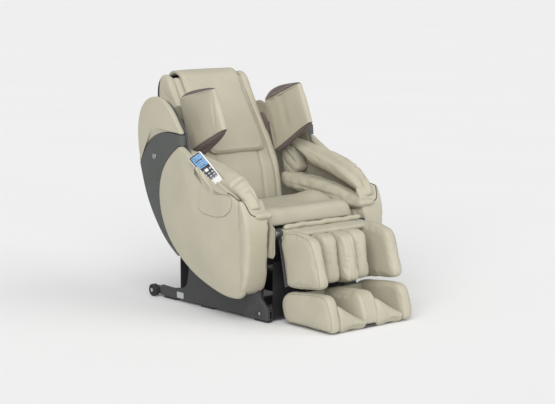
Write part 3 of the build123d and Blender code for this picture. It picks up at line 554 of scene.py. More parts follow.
def moulded(name, colour, rough=(0.34, 0.48), grain=900.0, depth=0.00015, worn=(1.6, 1.6, 1.6)):
    """Moulded plastic: fine spark grain, edges rubbed lighter."""
    f = Finish(name, IOR=1.46)
    low, high = tones(colour, 0.07)
    body = f.blend(f.noise(5.0, 3.0), low, high)
    f.roughness(f.noise(26.0, 5.0), *rough)
    return f.finish(f.wear(body, worn, 0.54, 0.64), f.bump(f.noise(grain, 2.0), depth, 0.6))


def painted_steel(name, colour):
    """Powder coat: slight orange peel over welded steel."""
    f = Finish(name, Metallic=0.0, IOR=1.5)
    low, high = tones(colour, 0.08)
    f.roughness(f.noise(30.0), 0.42, 0.55)
    return f.finish(f.wear(f.blend(f.noise(9.0), low, high), (2.0, 1.95, 1.9), 0.56, 0.66),
                    f.bump(f.noise(380.0, 2.0), 0.0002, 0.5))


def turned_steel(name, colour=(0.56, 0.56, 0.57)):
    """Turned and ground steel, streaked across its length."""
    f = Finish(name, Metallic=1.0)
    low, high = tones(colour, 0.12)
    streaks = f.noise(160.0, 4.0, stretch=(0.2, 1.0, 1.0))
    f.roughness(streaks, 0.2, 0.4)
    return f.finish(f.blend(streaks, low, high), f.bump(streaks, 0.0001, 0.4))


def rubber(name, colour=(0.024, 0.024, 0.025)):
    """Matt rubber with scuffs."""
    f = Finish(name)
    low, high = tones(colour, 0.2)
    f.roughness(f.noise(60.0, 6.0), 0.68, 0.88)
    return f.finish(f.wear(f.blend(f.noise(22.0, 5.0), low, high), (2.2, 2.2, 2.2), 0.55, 0.66),
                    f.bump(f.noise(500.0, 3.0), 0.0003, 0.6))


def glass_screen(name):
    """A lit blue display under a gloss cover."""
    f = Finish(name, Roughness=0.06, Coat_Weight=1.0, Coat_Roughness=0.03)
    glow = f.blend(f.noise(18.0, 2.0), (0.10, 0.24, 0.46), (0.20, 0.38, 0.62))
    return f.finish(glow)


LEATHER = leather("cream_leather", CREAM)
PANEL_SKIN = leather("cream_shell_skin", CREAM, grain=620.0, depth=0.00022)
# Cream leather darkened for the seam welts: the darker tone is painted shade along the seam lines.
SEAM_SHADE_LEATHER = leather("welt_leather", tuple(c * 0.62 for c in CREAM), grain=900.0)
CLOTH = woven("cream_cloth", tuple(c * 0.82 for c in CREAM), CREAM, 210.0, 0.0004)
# The cream cloth in a darker tone: painted shade on the shells' inner faces and on the webs behind the wings.
SHADED_LINER = woven("liner_cloth_painted_shade", tuple(c * 0.7 for c in SHADED_CREAM_CLOTH), SHADED_CREAM_CLOTH, 230.0, 0.0004)
MESH = woven("brown_mesh", (0.085, 0.06, 0.054), (0.20, 0.15, 0.135), 150.0, 0.0008)
THREAD = leather("thread", tuple(c * 0.9 for c in CREAM), grain=1500.0)
PIPING = leather("dark_piping", (0.05, 0.045, 0.04), grain=1200.0)
SHELL = moulded("dark_shell", SHELL_GREY, rough=(0.30, 0.42))
BASE = moulded("base_cover", BASE_GREY, rough=(0.40, 0.55), grain=1400.0)
BLACK = moulded("black_plastic", (0.012, 0.012, 0.013), rough=(0.45, 0.6))
WHITE = moulded("white_plastic", (0.70, 0.70, 0.68), rough=(0.22, 0.34), worn=(1, 1, 1))
BEZEL = moulded("bezel_plastic", (0.035, 0.038, 0.048), rough=(0.16, 0.26), grain=2000.0)
LABEL = moulded("label_foil", (0.40, 0.40, 0.41), rough=(0.3, 0.42), worn=(1, 1, 1))
ROLLER = moulded("roller_plastic", (0.30, 0.26, 0.20), rough=(0.25, 0.4))
PAINT = painted_steel("black_powder_coat", (0.045, 0.045, 0.048))
STEEL = turned_steel("turned_steel")
BADGE = turned_steel("badge_metal", (0.33, 0.33, 0.33))
RUBBER = rubber("black_rubber")
SCREEN = glass_screen("screen_glass")

NODE_FINISH = {
    PAINT: ["base_frame", "uprights", "wheel_brackets", "seat_pan", "back_frame", "calf_frame", "foot_frame",
            "roller_arms"],
    STEEL: ["pivot_pins", "cover_screws", "wheel_axles", "guide_rails", "lift_screw", "recline_rod",
            "leg_rod"],
    BASE: ["side_covers", "corner_covers", "rear_panel"],
    BLACK: ["front_panel", "control_box", "air_pump", "power_inlet", "power_switch", "recline_drive",
            "leg_drive", "massage_carriage"],
    RUBBER: ["floor_feet", "wheel_l", "wheel_r", "wall_bumpers"],
    SHELL: ["side_shells", "side_bands", "back_shell"],
    WHITE: ["remote_body", "remote_start_key"],
    SCREEN: ["remote_screen"],
    LABEL: ["rating_plate"],
    BADGE: ["badges"],
    ROLLER: ["upper_rollers", "lower_rollers"],
}


def finish_nodes():
    """Gives every CAD node that stays in view its detailed material."""
    for material, names in NODE_FINISH.items():
        for name in names:
            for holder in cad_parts[name].material_slots:
                holder.material = material


# ---------------------------------------------------------------- stage
def build_stage():
    """Camera at the reference angle, pale floor and soft studio light."""
    camera = bpy.data.objects.new("camera", bpy.data.cameras.new("camera"))
    bpy.context.scene.collection.objects.link(camera)
    camera.location = (-5.1833, -5.9442, 1.6642)
    camera.rotation_euler = (math.radians(81.7), 0, math.radians(-41))
    camera.data.lens = 107.0
    camera.data.clip_end = 400
    bpy.context.scene.camera = camera
    bpy.context.scene.view_settings.view_transform = "Standard"

    floor = Finish("floor_paper", Roughness=0.9, Specular_IOR_Level=0.1)
    pale = floor.blend(floor.noise(0.6, 2.0), (0.845, 0.845, 0.845), (0.855, 0.855, 0.855))
    ground = add_mesh("floor", [(-90, -90, 0), (90, -90, 0), (90, 90, 0), (-90, 90, 0)], [(0, 1, 2, 3)],
                      floor.finish(pale))

    world = bpy.data.worlds.new("studio")
    world.use_nodes = True
    world.node_tree.nodes["Background"].inputs["Color"].default_value = (1.0, 1.0, 1.0, 1)
    world.node_tree.nodes["Background"].inputs["Strength"].default_value = 0.45
    bpy.context.scene.world = world

    for name, toward, strength in (
        ("key", (-0.72, -0.62, 0.60), 2.6),
        ("fill", (0.55, -0.80, 0.55), 0.9),
    ):
        light = bpy.data.objects.new(name, bpy.data.lights.new(name, "SUN"))
        light.data.angle = math.radians(55)
        light.data.energy = strength
        light.rotation_euler = Vector(toward).to_track_quat("Z", "Y").to_euler()
        bpy.context.scene.collection.objects.link(light)


# ---------------------------------------------------------------- arms
SHELL_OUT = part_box("side_shells")[1].x
PANEL_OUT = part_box("side_panels")[1].x
LOBE_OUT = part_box("lobe_panels")[1].x
CORE_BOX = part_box("arm_cores")
ARM_INNER = 0.300


def remote_axes():
    """Middle, width, length and face directions of the remote, read from its solid."""
    co = points_of(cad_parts["remote_body"])
    middle = (co.min(0) + co.max(0)) / 2
    _, _, rows = np.linalg.svd(co - co.mean(0), full_matrices=False)
    up = rows[0] * np.sign(rows[0][2])
    face = rows[2] * np.sign(rows[2][2])
    return middle, np.cross(up, face), up, face


def build_side_panels():
    """The large domed panels; the sitter's right one has the remote's pocket in its rim."""
    ring = profile("side_panels", SHELL_OUT, softness=0.012, count=220)
    panel = slab("side_panel_left", ring, SHELL_OUT, PANEL_OUT - 0.026, 0.016, PANEL_SKIN, crown=(0, 0.026))
    finer(panel)
    other = mirrored(panel, "side_panel_right")
    middle, across, up, face = remote_axes()
    cut_box(other, middle + up * 0.06 + face * 0.006, (across, up, face), (0.074, 0.33, 0.036))
    for piece in (panel, other):
        settle(piece, "base", "cream_shell", ["side_panels"])
    return panel, other


def build_lobes():
    """The upper side panels behind the shoulders."""
    ring = profile("lobe_panels", SHELL_OUT, softness=0.008, count=160)
    lobe = slab("lobe_panel_left", ring, SHELL_OUT, LOBE_OUT - 0.010, 0.010, PANEL_SKIN, crown=(0, 0.010))
    finer(lobe)
    settle_both(lobe, "base", "cream_shell", ["lobe_panels"])


def build_liners():
    """Cloth on the inner faces of the side shells."""
    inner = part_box("side_shells")[1].x - 0.013
    ring = profile("side_shells", inner, softness=0.010, count=160)
    ring = ring - outward(ring) * 0.003
    # The liner's darker cloth is painted shade on the shell's inner face.
    liner = slab("side_liner_left", ring, inner - 0.005, inner - 0.0005, 0.002, SHADED_LINER, crown=(0.002, 0))
    settle_both(liner, "base", "cream_cloth")


def build_arm_fronts():
    """The tall padded blocks that make the arms' front faces."""
    outer = CORE_BOX[1].x + 0.020
    ring = profile("arm_cores", CORE_BOX[1].x, softness=0.014, count=140)
    ring = ring + outward(ring) * 0.006
    front = slab("arm_core_left", ring, ARM_INNER, outer, 0.020, LEATHER, crown=(0.004, 0))
    inflate(front, 0.008, 3.0, 0.005)
    ripple(front, 0.09, 0.0014, 3.0)
    settle_both(front, "base", "cream_leather", ["arm_cores"], fill=0.8)
    ring = outline([(-0.214, 0.140), (-0.243, 0.168), (-0.262, 0.24), (-0.268, 0.36), (-0.266, 0.46),
                    (-0.258, 0.510), (-0.242, 0.550), (-0.228, 0.586), (-0.207, 0.592), (-0.200, 0.50),
                    (-0.198, 0.30)], 140, 0.012)
    strip = slab("arm_front_left", ring, ARM_INNER - 0.002, 0.4395, 0.013, LEATHER, crown=(0.002, 0.002))
    inflate(strip, 0.006, 4.0, 0.004)
    ripple(strip, 0.10, 0.0012, 7.0)
    for piece, hand in ((strip, "left"), (mirrored(strip, "arm_front_right"), "right")):
        settle(piece, "base", "cream_leather", fill=0.8)
        side = 1 if hand == "left" else -1
        line = [(0.6 * side, -0.214, z) for z in np.linspace(0.16, 0.57, 7)]
        settle(seam(f"arm_front_seam_{hand}", piece, line, (-side, 0, 0), SEAM_SHADE_LEATHER), "base", "cream_leather")
    return strip


UPPER_TOP = [(331, 782), (241, 768), (140, 752), (60, 738), (-9, 725), (-70, 709), (-125, 690), (-175, 663),
             (-215, 630), (-246, 590), (-262, 548)]
UPPER_BOTTOM = [(322, 762), (222, 722), (140, 672), (70, 648), (15, 632), (-45, 612), (-100, 593),
                (-150, 574), (-190, 556), (-222, 543), (-238, 530)]
UPPER_OUT = [396, 416, 424, 425, 425, 424, 424, 420, 416, 408, 396]
UPPER_IN = [318, 304, 300, 300, 300, 300, 301, 303, 306, 312, 322]
UPPER_SECTION = [(0.18, 0.0), (0.04, 0.10), (-0.02, 0.30), (0.01, 0.50), (0.10, 0.60), (0.19, 0.58),
                 (0.24, 0.66), (0.29, 0.86), (0.38, 1.0), (0.52, 0.97), (0.68, 0.84), (0.84, 0.68),
                 (0.96, 0.56), (1.0, 0.40), (0.90, 0.22), (0.70, 0.08), (0.40, 0.0)]


def build_upper_pads():
    """The upper arm pads: a crest along the inner edge, a valley and a ridge along the outer rim."""
    section = outline(UPPER_SECTION, 64, 0.03)
    stations = 60
    top = smooth_line([(0, y, z) for y, z in UPPER_TOP], stations)
    bottom = smooth_line([(0, y, z) for y, z in UPPER_BOTTOM], stations)
    share = np.linspace(0, 1, stations)
    knots = np.linspace(0, 1, len(UPPER_OUT))
    rings = []
    for k in range(stations):
        x_out, x_in = np.interp(share[k], knots, UPPER_OUT), np.interp(share[k], knots, UPPER_IN)
        x = x_in + (x_out - x_in) * section[:, 0]
        side = bottom[k] + (top[k] - bottom[k]) * section[:, 1][:, None]
        rings.append(np.column_stack([x, side[:, 1], side[:, 2]]) * MM)
    pad = loft("arm_upper_pad_left", rings, LEATHER)
    inflate(pad, 0.006, 4.0, 0.006)
    ripple(pad, 0.06, 0.0025, 1.0)
    crease(pad, [
        ((0.420, -0.128, 0.640), (0.345, -0.158, 0.680), 0.013, 0.011),
        ((0.420, -0.188, 0.622), (0.350, -0.222, 0.632), 0.011, 0.008),
        ((0.365, -0.205, 0.645), (0.345, -0.258, 0.560), 0.011, 0.009),
        ((0.395, -0.222, 0.610), (0.385, -0.262, 0.545), 0.008, 0.005),
        ((0.330, -0.200, 0.655), (0.305, -0.190, 0.610), 0.008, 0.004),
        ((0.340, -0.236, 0.600), (0.312, -0.240, 0.560), 0.008, 0.006),
        ((0.300, 0.020, 0.690), (0.300, -0.070, 0.650), 0.010, 0.003),
        ((0.302, 0.110, 0.720), (0.300, 0.050, 0.680), 0.010, 0.003),
        ((0.372, 0.100, 0.745), (0.368, -0.100, 0.700), 0.010, 0.004),
    ])
    finer(pad)
    other = mirrored(pad, "arm_upper_pad_right")
    middle, across, up, face = remote_axes()
    cut_box(other, middle + up * 0.06 + face * 0.02, (across, up, face), (0.072, 0.33, 0.062))
    for piece in (pad, other):
        settle(piece, "base", "cream_leather", ["arm_upper_pads"], fill=0.7)
    return pad


def build_lower_pads():
    """The wrinkled pads that the forearm lies on, below the hand slot."""
    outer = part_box("arm_lower_pads")[1].x
    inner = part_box("seat_pan")[1].x
    ring = profile("arm_lower_pads", outer, softness=0.014, count=140)
    pad = slab("arm_lower_pad_left", ring, inner, outer, 0.020, LEATHER, crown=(0.003, 0))
    inflate(pad, 0.006, 5.0, 0.009)
    ripple(pad, 0.045, 0.005, 8.0)
    folds = []
    for k, y in enumerate(np.linspace(-0.19, 0.25, 9)):
        lean = 0.03 * math.sin(2.1 * k)
        folds.append(((0.276, y, 0.512 + 0.09 * (y + 0.2)), (0.345, y + lean + 0.02, 0.575 + 0.12 * y), 0.009,
                      0.0035 + 0.0015 * math.cos(1.7 * k)))
    folds.append(((0.272, -0.22, 0.515), (0.272, 0.26, 0.560), 0.010, 0.004))
    folds.append(((0.300, -0.20, 0.535), (0.298, 0.20, 0.590), 0.010, 0.004))
    crease(pad, folds)
    finer(pad)
    settle_both(pad, "base", "cream_leather", ["arm_lower_pads"], fill=0.5)


def build_gussets():
    """Loose cloth that closes the back of each hand slot."""
    ring = outline([(0.205, 0.632), (0.262, 0.590), (0.325, 0.600), (0.345, 0.690), (0.335, 0.765),
                    (0.255, 0.742)], 90, 0.012)
    piece = slab("arm_gusset_left", ring, 0.302, 0.380, 0.022, CLOTH, crown=(0.006, 0))
    inflate(piece, 0.006, 4.0, 0.006)
    crease(piece, [
        ((0.300, 0.21, 0.640), (0.302, 0.33, 0.740), 0.012, 0.008),
        ((0.300, 0.24, 0.610), (0.302, 0.335, 0.690), 0.010, 0.007),
        ((0.300, 0.23, 0.690), (0.302, 0.300, 0.755), 0.010, 0.006),
    ])
    settle_both(piece, "base", "cream_cloth", fill=0.3)


def build_arm_piping(covers):
    """Dark piping that parts the upper pad from the arm's front block."""
    line = smooth_line([(0.440, -0.130, 0.616), (0.438, -0.160, 0.618), (0.434, -0.190, 0.612),
                        (0.424, -0.222, 0.592), (0.412, -0.246, 0.556), (0.402, -0.262, 0.528),
                        (0.376, -0.272, 0.514), (0.340, -0.274, 0.502), (0.302, -0.270, 0.496)], 70)
    trees = [tree_of(cover) for cover in covers]
    laid = []
    for point in line:
        near = min((t.find_nearest(Vector(point)) for t in trees), key=lambda found: found[3])
        laid.append(near[0] + near[1] * 0.0008)
    laid = smooth_line(laid[::4], 90)
    for side, hand in SIDES:
        piece = tube(f"arm_piping_{hand}", laid * np.array([side, 1, 1]), 0.0022, PIPING)
        settle(piece, "base", "black_plastic")


def build_pocket_flap(panel):
    """The leather pocket sewn over the right panel: its mouth crosses the remote's face."""
    ring = outline([(0.085, 0.706), (0.050, 0.694), (0.010, 0.676), (-0.040, 0.651), (-0.085, 0.631),
                    (-0.125, 0.614), (-0.150, 0.599), (-0.166, 0.566), (-0.156, 0.526), (-0.122, 0.500),
                    (-0.060, 0.492), (0.020, 0.500), (0.090, 0.540), (0.128, 0.610), (0.116, 0.670)],
                   160, 0.006)
    centre = ring.mean(0)
    tree = tree_of(panel)
    middle, across, up, face = remote_axes()

    def dropped(point, lift):
        x = -PANEL_OUT + ((point[0] - 0.075) ** 2 + (point[1] - 0.400) ** 2) / 4.0
        hit = tree.ray_cast(Vector((-0.6, *point)), Vector((1, 0, 0)), 0.3)[0]
        if hit is not None and abs(hit.x - x) < 0.006:
            x = hit.x
        sunk = np.clip((point[0] - 0.045) / 0.05, 0, 1)
        place = np.array((x - lift + 0.005 * sunk, *point))
        local = place - middle
        inside = np.clip((0.052 - abs(local @ across)) / 0.014, 0, 1)
        inside *= np.clip((local @ up + 0.125) / 0.025, 0, 1)
        return place + face * max(0.0, 0.0125 - local @ face) * inside

    rings = []
    for share in np.linspace(0.02, 1, 26):
        lift = 0.0026 if share < 0.97 else 0.0012
        rings.append(np.array([dropped(p, lift) for p in centre + (ring - centre) * share]))
    flap = loft("pocket_flap_cover", rings, LEATHER)
    settle(flap, "base", "cream_leather", ["pocket_flap"])


# ---------------------------------------------------------------- seat
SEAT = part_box("seat_cushion")


def build_seat():
    """The seat: a low middle, raised hip sides and a rounded front roll behind a seam."""
    low, high = SEAT
    count_x, count_y = 60, 56
    xs = np.linspace(-1, 1, count_x)
    ys = np.linspace(0, 1, count_y)
    half = high.x + 0.021
    top = []
    for v in ys:
        y = low.y + (high.y - low.y) * v
        row = []
        for u in xs:
            hip = math.exp(-((abs(u) - 0.80) / 0.20) ** 2) * math.exp(-((v - 0.52) / 0.26) ** 2)
            roll = math.exp(-((v - 0.12) / 0.10) ** 2)
            edge = max(0.0, (abs(u) - 0.90) / 0.10)
            front = max(0.0, (0.07 - v) / 0.07)
            z = high.z - 0.026 + 0.046 * hip + 0.014 * roll
            z -= 0.030 * edge**2 + 0.060 * front**2
            row.append((u * half, y - 0.004 * (1 - u * u) * (v < 0.1), z))
        top.append(row)
    vertices = [p for row in top for p in row]
    faces = []
    for j in range(count_y - 1):
        for i in range(count_x - 1):
            a = j * count_x + i
            faces.append((a, a + 1, a + 1 + count_x, a + count_x))
    rim = list(range(count_x)) + [j * count_x + count_x - 1 for j in range(1, count_y)]
    rim += [(count_y - 1) * count_x + i for i in range(count_x - 2, -1, -1)]
    rim += [j * count_x for j in range(count_y - 2, 0, -1)]
    start = len(vertices)
    vertices += [(vertices[i][0] * 0.985, vertices[i][1] * 0.985, low.z + 0.010) for i in rim]
    for k in range(len(rim)):
        n = (k + 1) % len(rim)
        faces.append((rim[k], rim[n], start + n, start + k))
    faces.append(tuple(range(start, start + len(rim)))[::-1])
    seat = add_mesh("seat_cushion_cover", vertices, faces, LEATHER)
    inflate(seat, 0.008, 3.5, 0.006, smoothing=4)
    ripple(seat, 0.08, 0.0022, 5.0)
    roll_y = low.y + 0.20 * (high.y - low.y)
    crease(seat, [
        ((-half, roll_y, high.z), (half, roll_y, high.z), 0.008, 0.006),
        ((-0.165, roll_y, high.z), (-0.175, high.y, high.z), 0.010, 0.004),
        ((0.165, roll_y, high.z), (0.175, high.y, high.z), 0.010, 0.004),
        ((half * 0.95, low.y, high.z - 0.06), (half * 0.95, roll_y, high.z), 0.006, 0.003),
        ((-half * 0.95, low.y, high.z - 0.06), (-half * 0.95, roll_y, high.z), 0.006, 0.003),
    ])
    settle(seat, "base", "cream_leather", ["seat_cushion"], fill=0.7)
    down = (0, 0, -1)
    line = [(-0.25, roll_y, 0), (0, roll_y - 0.004, 0), (0.25, roll_y, 0)]
    welt = seam("seat_front_seam", seat, line, down, SEAM_SHADE_LEATHER)
    row = stitches("seat_front_stitches", seat, [(-0.25, roll_y + 0.007, 0), (0, roll_y + 0.003, 0),
                                                 (0.25, roll_y + 0.007, 0)], down, THREAD)
    for piece in (welt, row):
        settle(piece, "base", "cream_leather")


def build_side_flaps():
    """Cloth flaps that hang beside the knees from the seat's front corners."""
    x_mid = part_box("side_flaps")[1].x - 0.003
    ring = profile("side_flaps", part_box("side_flaps")[1].x, softness=0.008, count=100)
    centre = ring.mean(0)
    rings = []
    for layer, shares in ((1, np.linspace(0.05, 1, 14)), (-1, np.linspace(1, 0.05, 14))):
        for share in shares:
            flat = centre + (ring - centre) * share
            wave = 0.004 * np.sin(flat[:, 0] * 150 + flat[:, 1] * 24) * (0.5 - (flat[:, 1] - 0.40) * 4)
            rings.append(np.column_stack([x_mid + wave + layer * 0.0012, flat]))
    flap = loft("side_flap_left", rings, CLOTH)
    other = mirrored(flap, "side_flap_right")
    for piece in (flap, other):
        settle(piece, "base", "cream_cloth", ["side_flaps"])


# ---------------------------------------------------------------- back
def build_back_pad():
    """The backrest cushion, with two sewn lines down its length."""
    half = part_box("back_pad")[1].x
    ring = outline([(0.258, 0.470), (0.270, 0.549), (0.289, 0.648), (0.327, 0.730), (0.373, 0.813),
                    (0.430, 0.902), (0.466, 0.958), (0.534, 1.062), (0.552, 1.092), (0.580, 1.098),
                    (0.588, 1.080), (0.566, 1.044), (0.498, 0.940), (0.462, 0.884), (0.405, 0.795),
                    (0.360, 0.714), (0.323, 0.634), (0.306, 0.543), (0.295, 0.476)], 200, 0.010)
    pad = slab("back_pad_cover", ring, -half, half, 0.016, LEATHER)
    inflate(pad, 0.008, 3.5, 0.002)
    ripple(pad, 0.10, 0.0025, 2.0)
    backward = (0, 1, 0.0)
    lines = {}
    for side, hand in SIDES:
        points = [(side * (0.135 + 0.02 * (z - 0.7)), 0.20, z) for z in np.linspace(0.49, 1.04, 24)]
        lines[hand] = points
        channel(pad, surface_line(pad, points, backward), 0.009, 0.0055)
    settle(pad, "backrest", "cream_leather", ["back_pad"], fill=0.7)
    for hand, points in lines.items():
        welt = seam(f"back_seam_{hand}", pad, points, backward, SEAM_SHADE_LEATHER, radius=0.0010)
        settle(welt, "backrest", "cream_leather")


def build_bolsters():
    """The padded cheeks down both sides of the back, with soft wrinkles at the top."""
    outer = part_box("back_bolsters")[1].x + 0.004
    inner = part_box("back_pad")[1].x - 0.0025
    ring = outline([(0.262, 0.470), (0.272, 0.549), (0.290, 0.648), (0.327, 0.732), (0.373, 0.815),
                    (0.430, 0.904), (0.466, 0.960), (0.520, 1.050), (0.548, 1.098), (0.590, 1.116),
                    (0.622, 1.100), (0.634, 1.055), (0.634, 1.000), (0.614, 0.924), (0.548, 0.744),
                    (0.462, 0.564), (0.400, 0.470)], 220, 0.012)
    bolster = slab("back_bolster_left", ring, inner, outer, 0.016, LEATHER, crown=(0, 0.004))
    inflate(bolster, 0.006, 3.0, 0.003)
    ripple(bolster, 0.06, 0.002, 4.0)
    crease(bolster, [
        ((outer, 0.545, 1.000), (outer, 0.600, 1.045), 0.009, 0.004),
        ((outer, 0.500, 0.985), (outer, 0.585, 1.010), 0.009, 0.003),
        ((outer - 0.01, 0.505, 1.035), (outer - 0.02, 0.560, 1.075), 0.008, 0.003),
        ((outer, 0.480, 0.930), (outer, 0.560, 0.940), 0.010, 0.003),
    ])
    settle_both(bolster, "backrest", "cream_leather", ["back_bolsters"], fill=0.7)
    ring = outline([(0.372, 0.856), (0.392, 0.945), (0.450, 0.968), (0.590, 0.928), (0.586, 0.852)],
                   90, 0.008)
    # The web's darker cloth is painted shade between the back and the wing.
    cover = slab("wing_web_left", ring, 0.2500, 0.2660, 0.005, SHADED_LINER, crown=(0, 0.002))
    remesh(cover, 0.004, 3)
    crease(cover, [((0.266, 0.40, 0.88), (0.266, 0.55, 0.93), 0.008, 0.003)])
    settle_both(cover, "backrest", "cream_cloth", fill=0.3)


HEAD_LINE = [(318, 722), (345, 762), (372, 806), (400, 848), (428, 892), (452, 930), (474, 966), (502, 1012),
             (528, 1056), (548, 1088), (566, 1106), (592, 1110), (616, 1100), (630, 1078)]


def head_rows(lift, shrink=0.0, count=90):
    """Rows of points across the head pad, from its lower edge up and over the top."""
    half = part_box("head_pad")[1].x - shrink
    path = smooth_line([(0, y * MM, z * MM) for y, z in HEAD_LINE], count)
    length = np.concatenate([[0], np.cumsum(np.linalg.norm(np.diff(path, axis=0), axis=1))])
    corner = 0.045
    rows = []
    for k in range(count):
        along = unit(path[min(k + 1, count - 1)] - path[max(k - 1, 0)])
        normal = np.array([0, -along[2], along[1]])
        run = max(length[k] - shrink, 0.0)
        tuck = corner - math.sqrt(max(corner**2 - max(corner - run, 0) ** 2, 0))
        width = half - tuck
        u = np.linspace(-1, 1, 48)
        rows.append(path[k] + np.outer(np.full(48, lift), normal) + np.outer(u * width, (1, 0, 0)))
    return rows


def build_head_pad():
    """The soft pad draped over the top of the back, with a stitched border."""
    loops = [np.vstack([a, b[::-1]]) for a, b in zip(head_rows(0.0165), head_rows(0.001))]
    pad = loft("head_pad_cover", loops, LEATHER)
    inflate(pad, 0.005, 4.0, 0.006, smoothing=5)
    ripple(pad, 0.09, 0.0022, 6.0)
    rows = head_rows(0.02, shrink=0.011, count=60)
    left = [r[0] for r in rows[::2]]
    right = [r[-1] for r in rows[::2]]
    loop = left[::-1] + [rows[0][k] for k in range(4, 44, 4)] + right
    tree = tree_of(pad)
    border = [np.array(tree.find_nearest(Vector(point))[0]) for point in resample(loop, 150, closed=False)]
    channel(pad, border, 0.006, 0.0026)
    finer(pad)
    settle(pad, "backrest", "cream_leather", ["head_pad"], fill=0.6)
    tree = tree_of(pad)
    ends = []
    for point in resample(border, 560, closed=False):
        hit, normal, _, _ = tree.find_nearest(Vector(point))
        ends.append(np.array(hit + normal * 0.0003))
    row = dashes("head_stitches", ends, 0.0030, THREAD)
    settle(row, "backrest", "cream_leather")


WING_FRONT = ((0.078, 0.878), (0.158, 1.066))  # the wing's edges in (y, z), low and high
WING_REAR_OUT = ((0.338, 0.752), (0.418, 1.008))
WING_REAR_IN = ((0.352, 0.704), (0.424, 0.952))


def build_wings():
    """Shoulder wings: a leather sleeve folded round a mesh bag that bulges out at both ends."""
    low_x, high_x = 0.246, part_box("shoulder_wings")[1].x
    middle, depth = (low_x + high_x) / 2, (high_x - low_x) / 2

    def at(line, v):
        return np.array(line[0]) + (np.array(line[1]) - line[0]) * v

    def section(v, grow=1.0):
        """A cross-section at height share v: full and round at the front, flatter at the rear."""
        points = []
        for t in np.linspace(0, 2 * math.pi, 96, endpoint=False):
            c, s = math.cos(t), math.sin(t)
            u = 0.5 - 0.5 * grow * math.copysign(abs(c) ** 0.80, c)
            flat = math.copysign(abs(s) ** 0.55, s)
            rear = at(WING_REAR_IN, v) + (at(WING_REAR_OUT, v) - at(WING_REAR_IN, v)) * (flat + 1) / 2
            front = at(WING_FRONT, v)
            points.append((middle + depth * grow * (1 - 0.18 * u) * flat, *(front + (rear - front) * u)))
        return np.array(points)

    rows = [section(v, 0.96) for v in (0.035, 0.012)]
    rows += [section(0.0, 0.985), section(-0.004, 1.0)] + [section(v) for v in np.linspace(0.02, 0.98, 40)]
    rows += [section(1.004, 1.0), section(1.0, 0.985)] + [section(v, 0.96) for v in (0.988, 0.965)]
    sleeve = loft("wing_sleeve_left", rows, LEATHER)
    ripple(sleeve, 0.09, 0.0030, 9.0)
    crease(sleeve, [((high_x, 0.16, 1.045), (high_x, 0.13, 0.88), 0.014, 0.003),
                    ((high_x, 0.30, 0.80), (high_x, 0.37, 0.98), 0.012, 0.0025),
                    ((low_x, 0.33, 0.74), (low_x, 0.39, 0.93), 0.020, 0.005),
                    ((low_x, 0.22, 0.83), (low_x, 0.29, 1.02), 0.030, 0.004)])
    ends = [(-0.105, 0.20), (-0.098, 0.50), (-0.078, 0.74), (-0.045, 0.88), (0.0, 0.94), (0.03, 0.92),
            (0.10, 0.60), (0.50, 0.50), (0.90, 0.60), (0.97, 0.92), (1.00, 0.95), (1.045, 0.92),
            (1.068, 0.70), (1.076, 0.30)]
    bag = loft("wing_mesh_left", [section(v, grow) for v, grow in ends], MESH)
    finer(bag)
    pieces = [sleeve, bag, mirrored(sleeve, "wing_sleeve_right"), mirrored(bag, "wing_mesh_right")]
    for piece in pieces:
        leathery = "sleeve" in piece.name
        settle(piece, "backrest", "cream_leather" if leathery else "cream_cloth",
               ["shoulder_wings"], fill=0.6 if leathery else 0.5)
    ring = outline([(0.372, 0.800), (0.430, 0.812), (0.470, 0.860), (0.462, 0.904), (0.418, 0.908),
                    (0.378, 0.866)], 70, 0.010)
    for side, hand in SIDES:
        patch = slab(f"bolster_mesh_{hand}", ring, side * 0.240, side * 0.2750, 0.012, MESH, crown=(0, 0.002))
        remesh(patch, 0.004, 4)
        settle(patch, "backrest", "cream_cloth", fill=0.6)


# ---------------------------------------------------------------- calf and foot unit
LEG_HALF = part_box("calf_wings")[1].x
FOOT_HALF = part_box("foot_wings")[1].x
WING_WIDTH = 0.062
DIVIDER_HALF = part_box("calf_divider")[1].x
FOOT_RIB = 0.050


def set_back(ring, share):
    """The ring with its front part drawn back towards y = -0.42."""
    drawn = ring.copy()
    ahead = drawn[:, 0] < -0.42
    drawn[ahead, 0] = -0.42 + (drawn[ahead, 0] + 0.42) * share
    return drawn


def build_leg_wings(stem, body, half, softness, edge, inset, seed):
    """A padded wing on each side of a leg unit, with a welt sewn round its inner face."""
    inner = half - WING_WIDTH
    ring = profile(f"{stem}_wings", inner, softness=softness, count=140)
    wing = slab(f"{stem}_wing_left", ring, inner, half - 0.005, edge, LEATHER, crown=(0, 0.005))
    inflate(wing, 0.006, 4.0, 0.004)
    ripple(wing, 0.08, 0.002, seed)
    welt_ring = ring - outward(ring) * inset
    for piece, side, hand in ((wing, 1, "left"), (mirrored(wing, f"{stem}_wing_right"), -1, "right")):
        settle(piece, body, "cream_leather", [f"{stem}_wings"], fill=0.8)
        points = [(side * 0.3, y, z) for y, z in welt_ring[::5]]
        points.append(points[0])
        welt = seam(f"{stem}_welt_{hand}", piece, points, (-side, 0, 0), SEAM_SHADE_LEATHER, radius=0.0013, count=160)
        settle(welt, body, "cream_leather")
    return inner


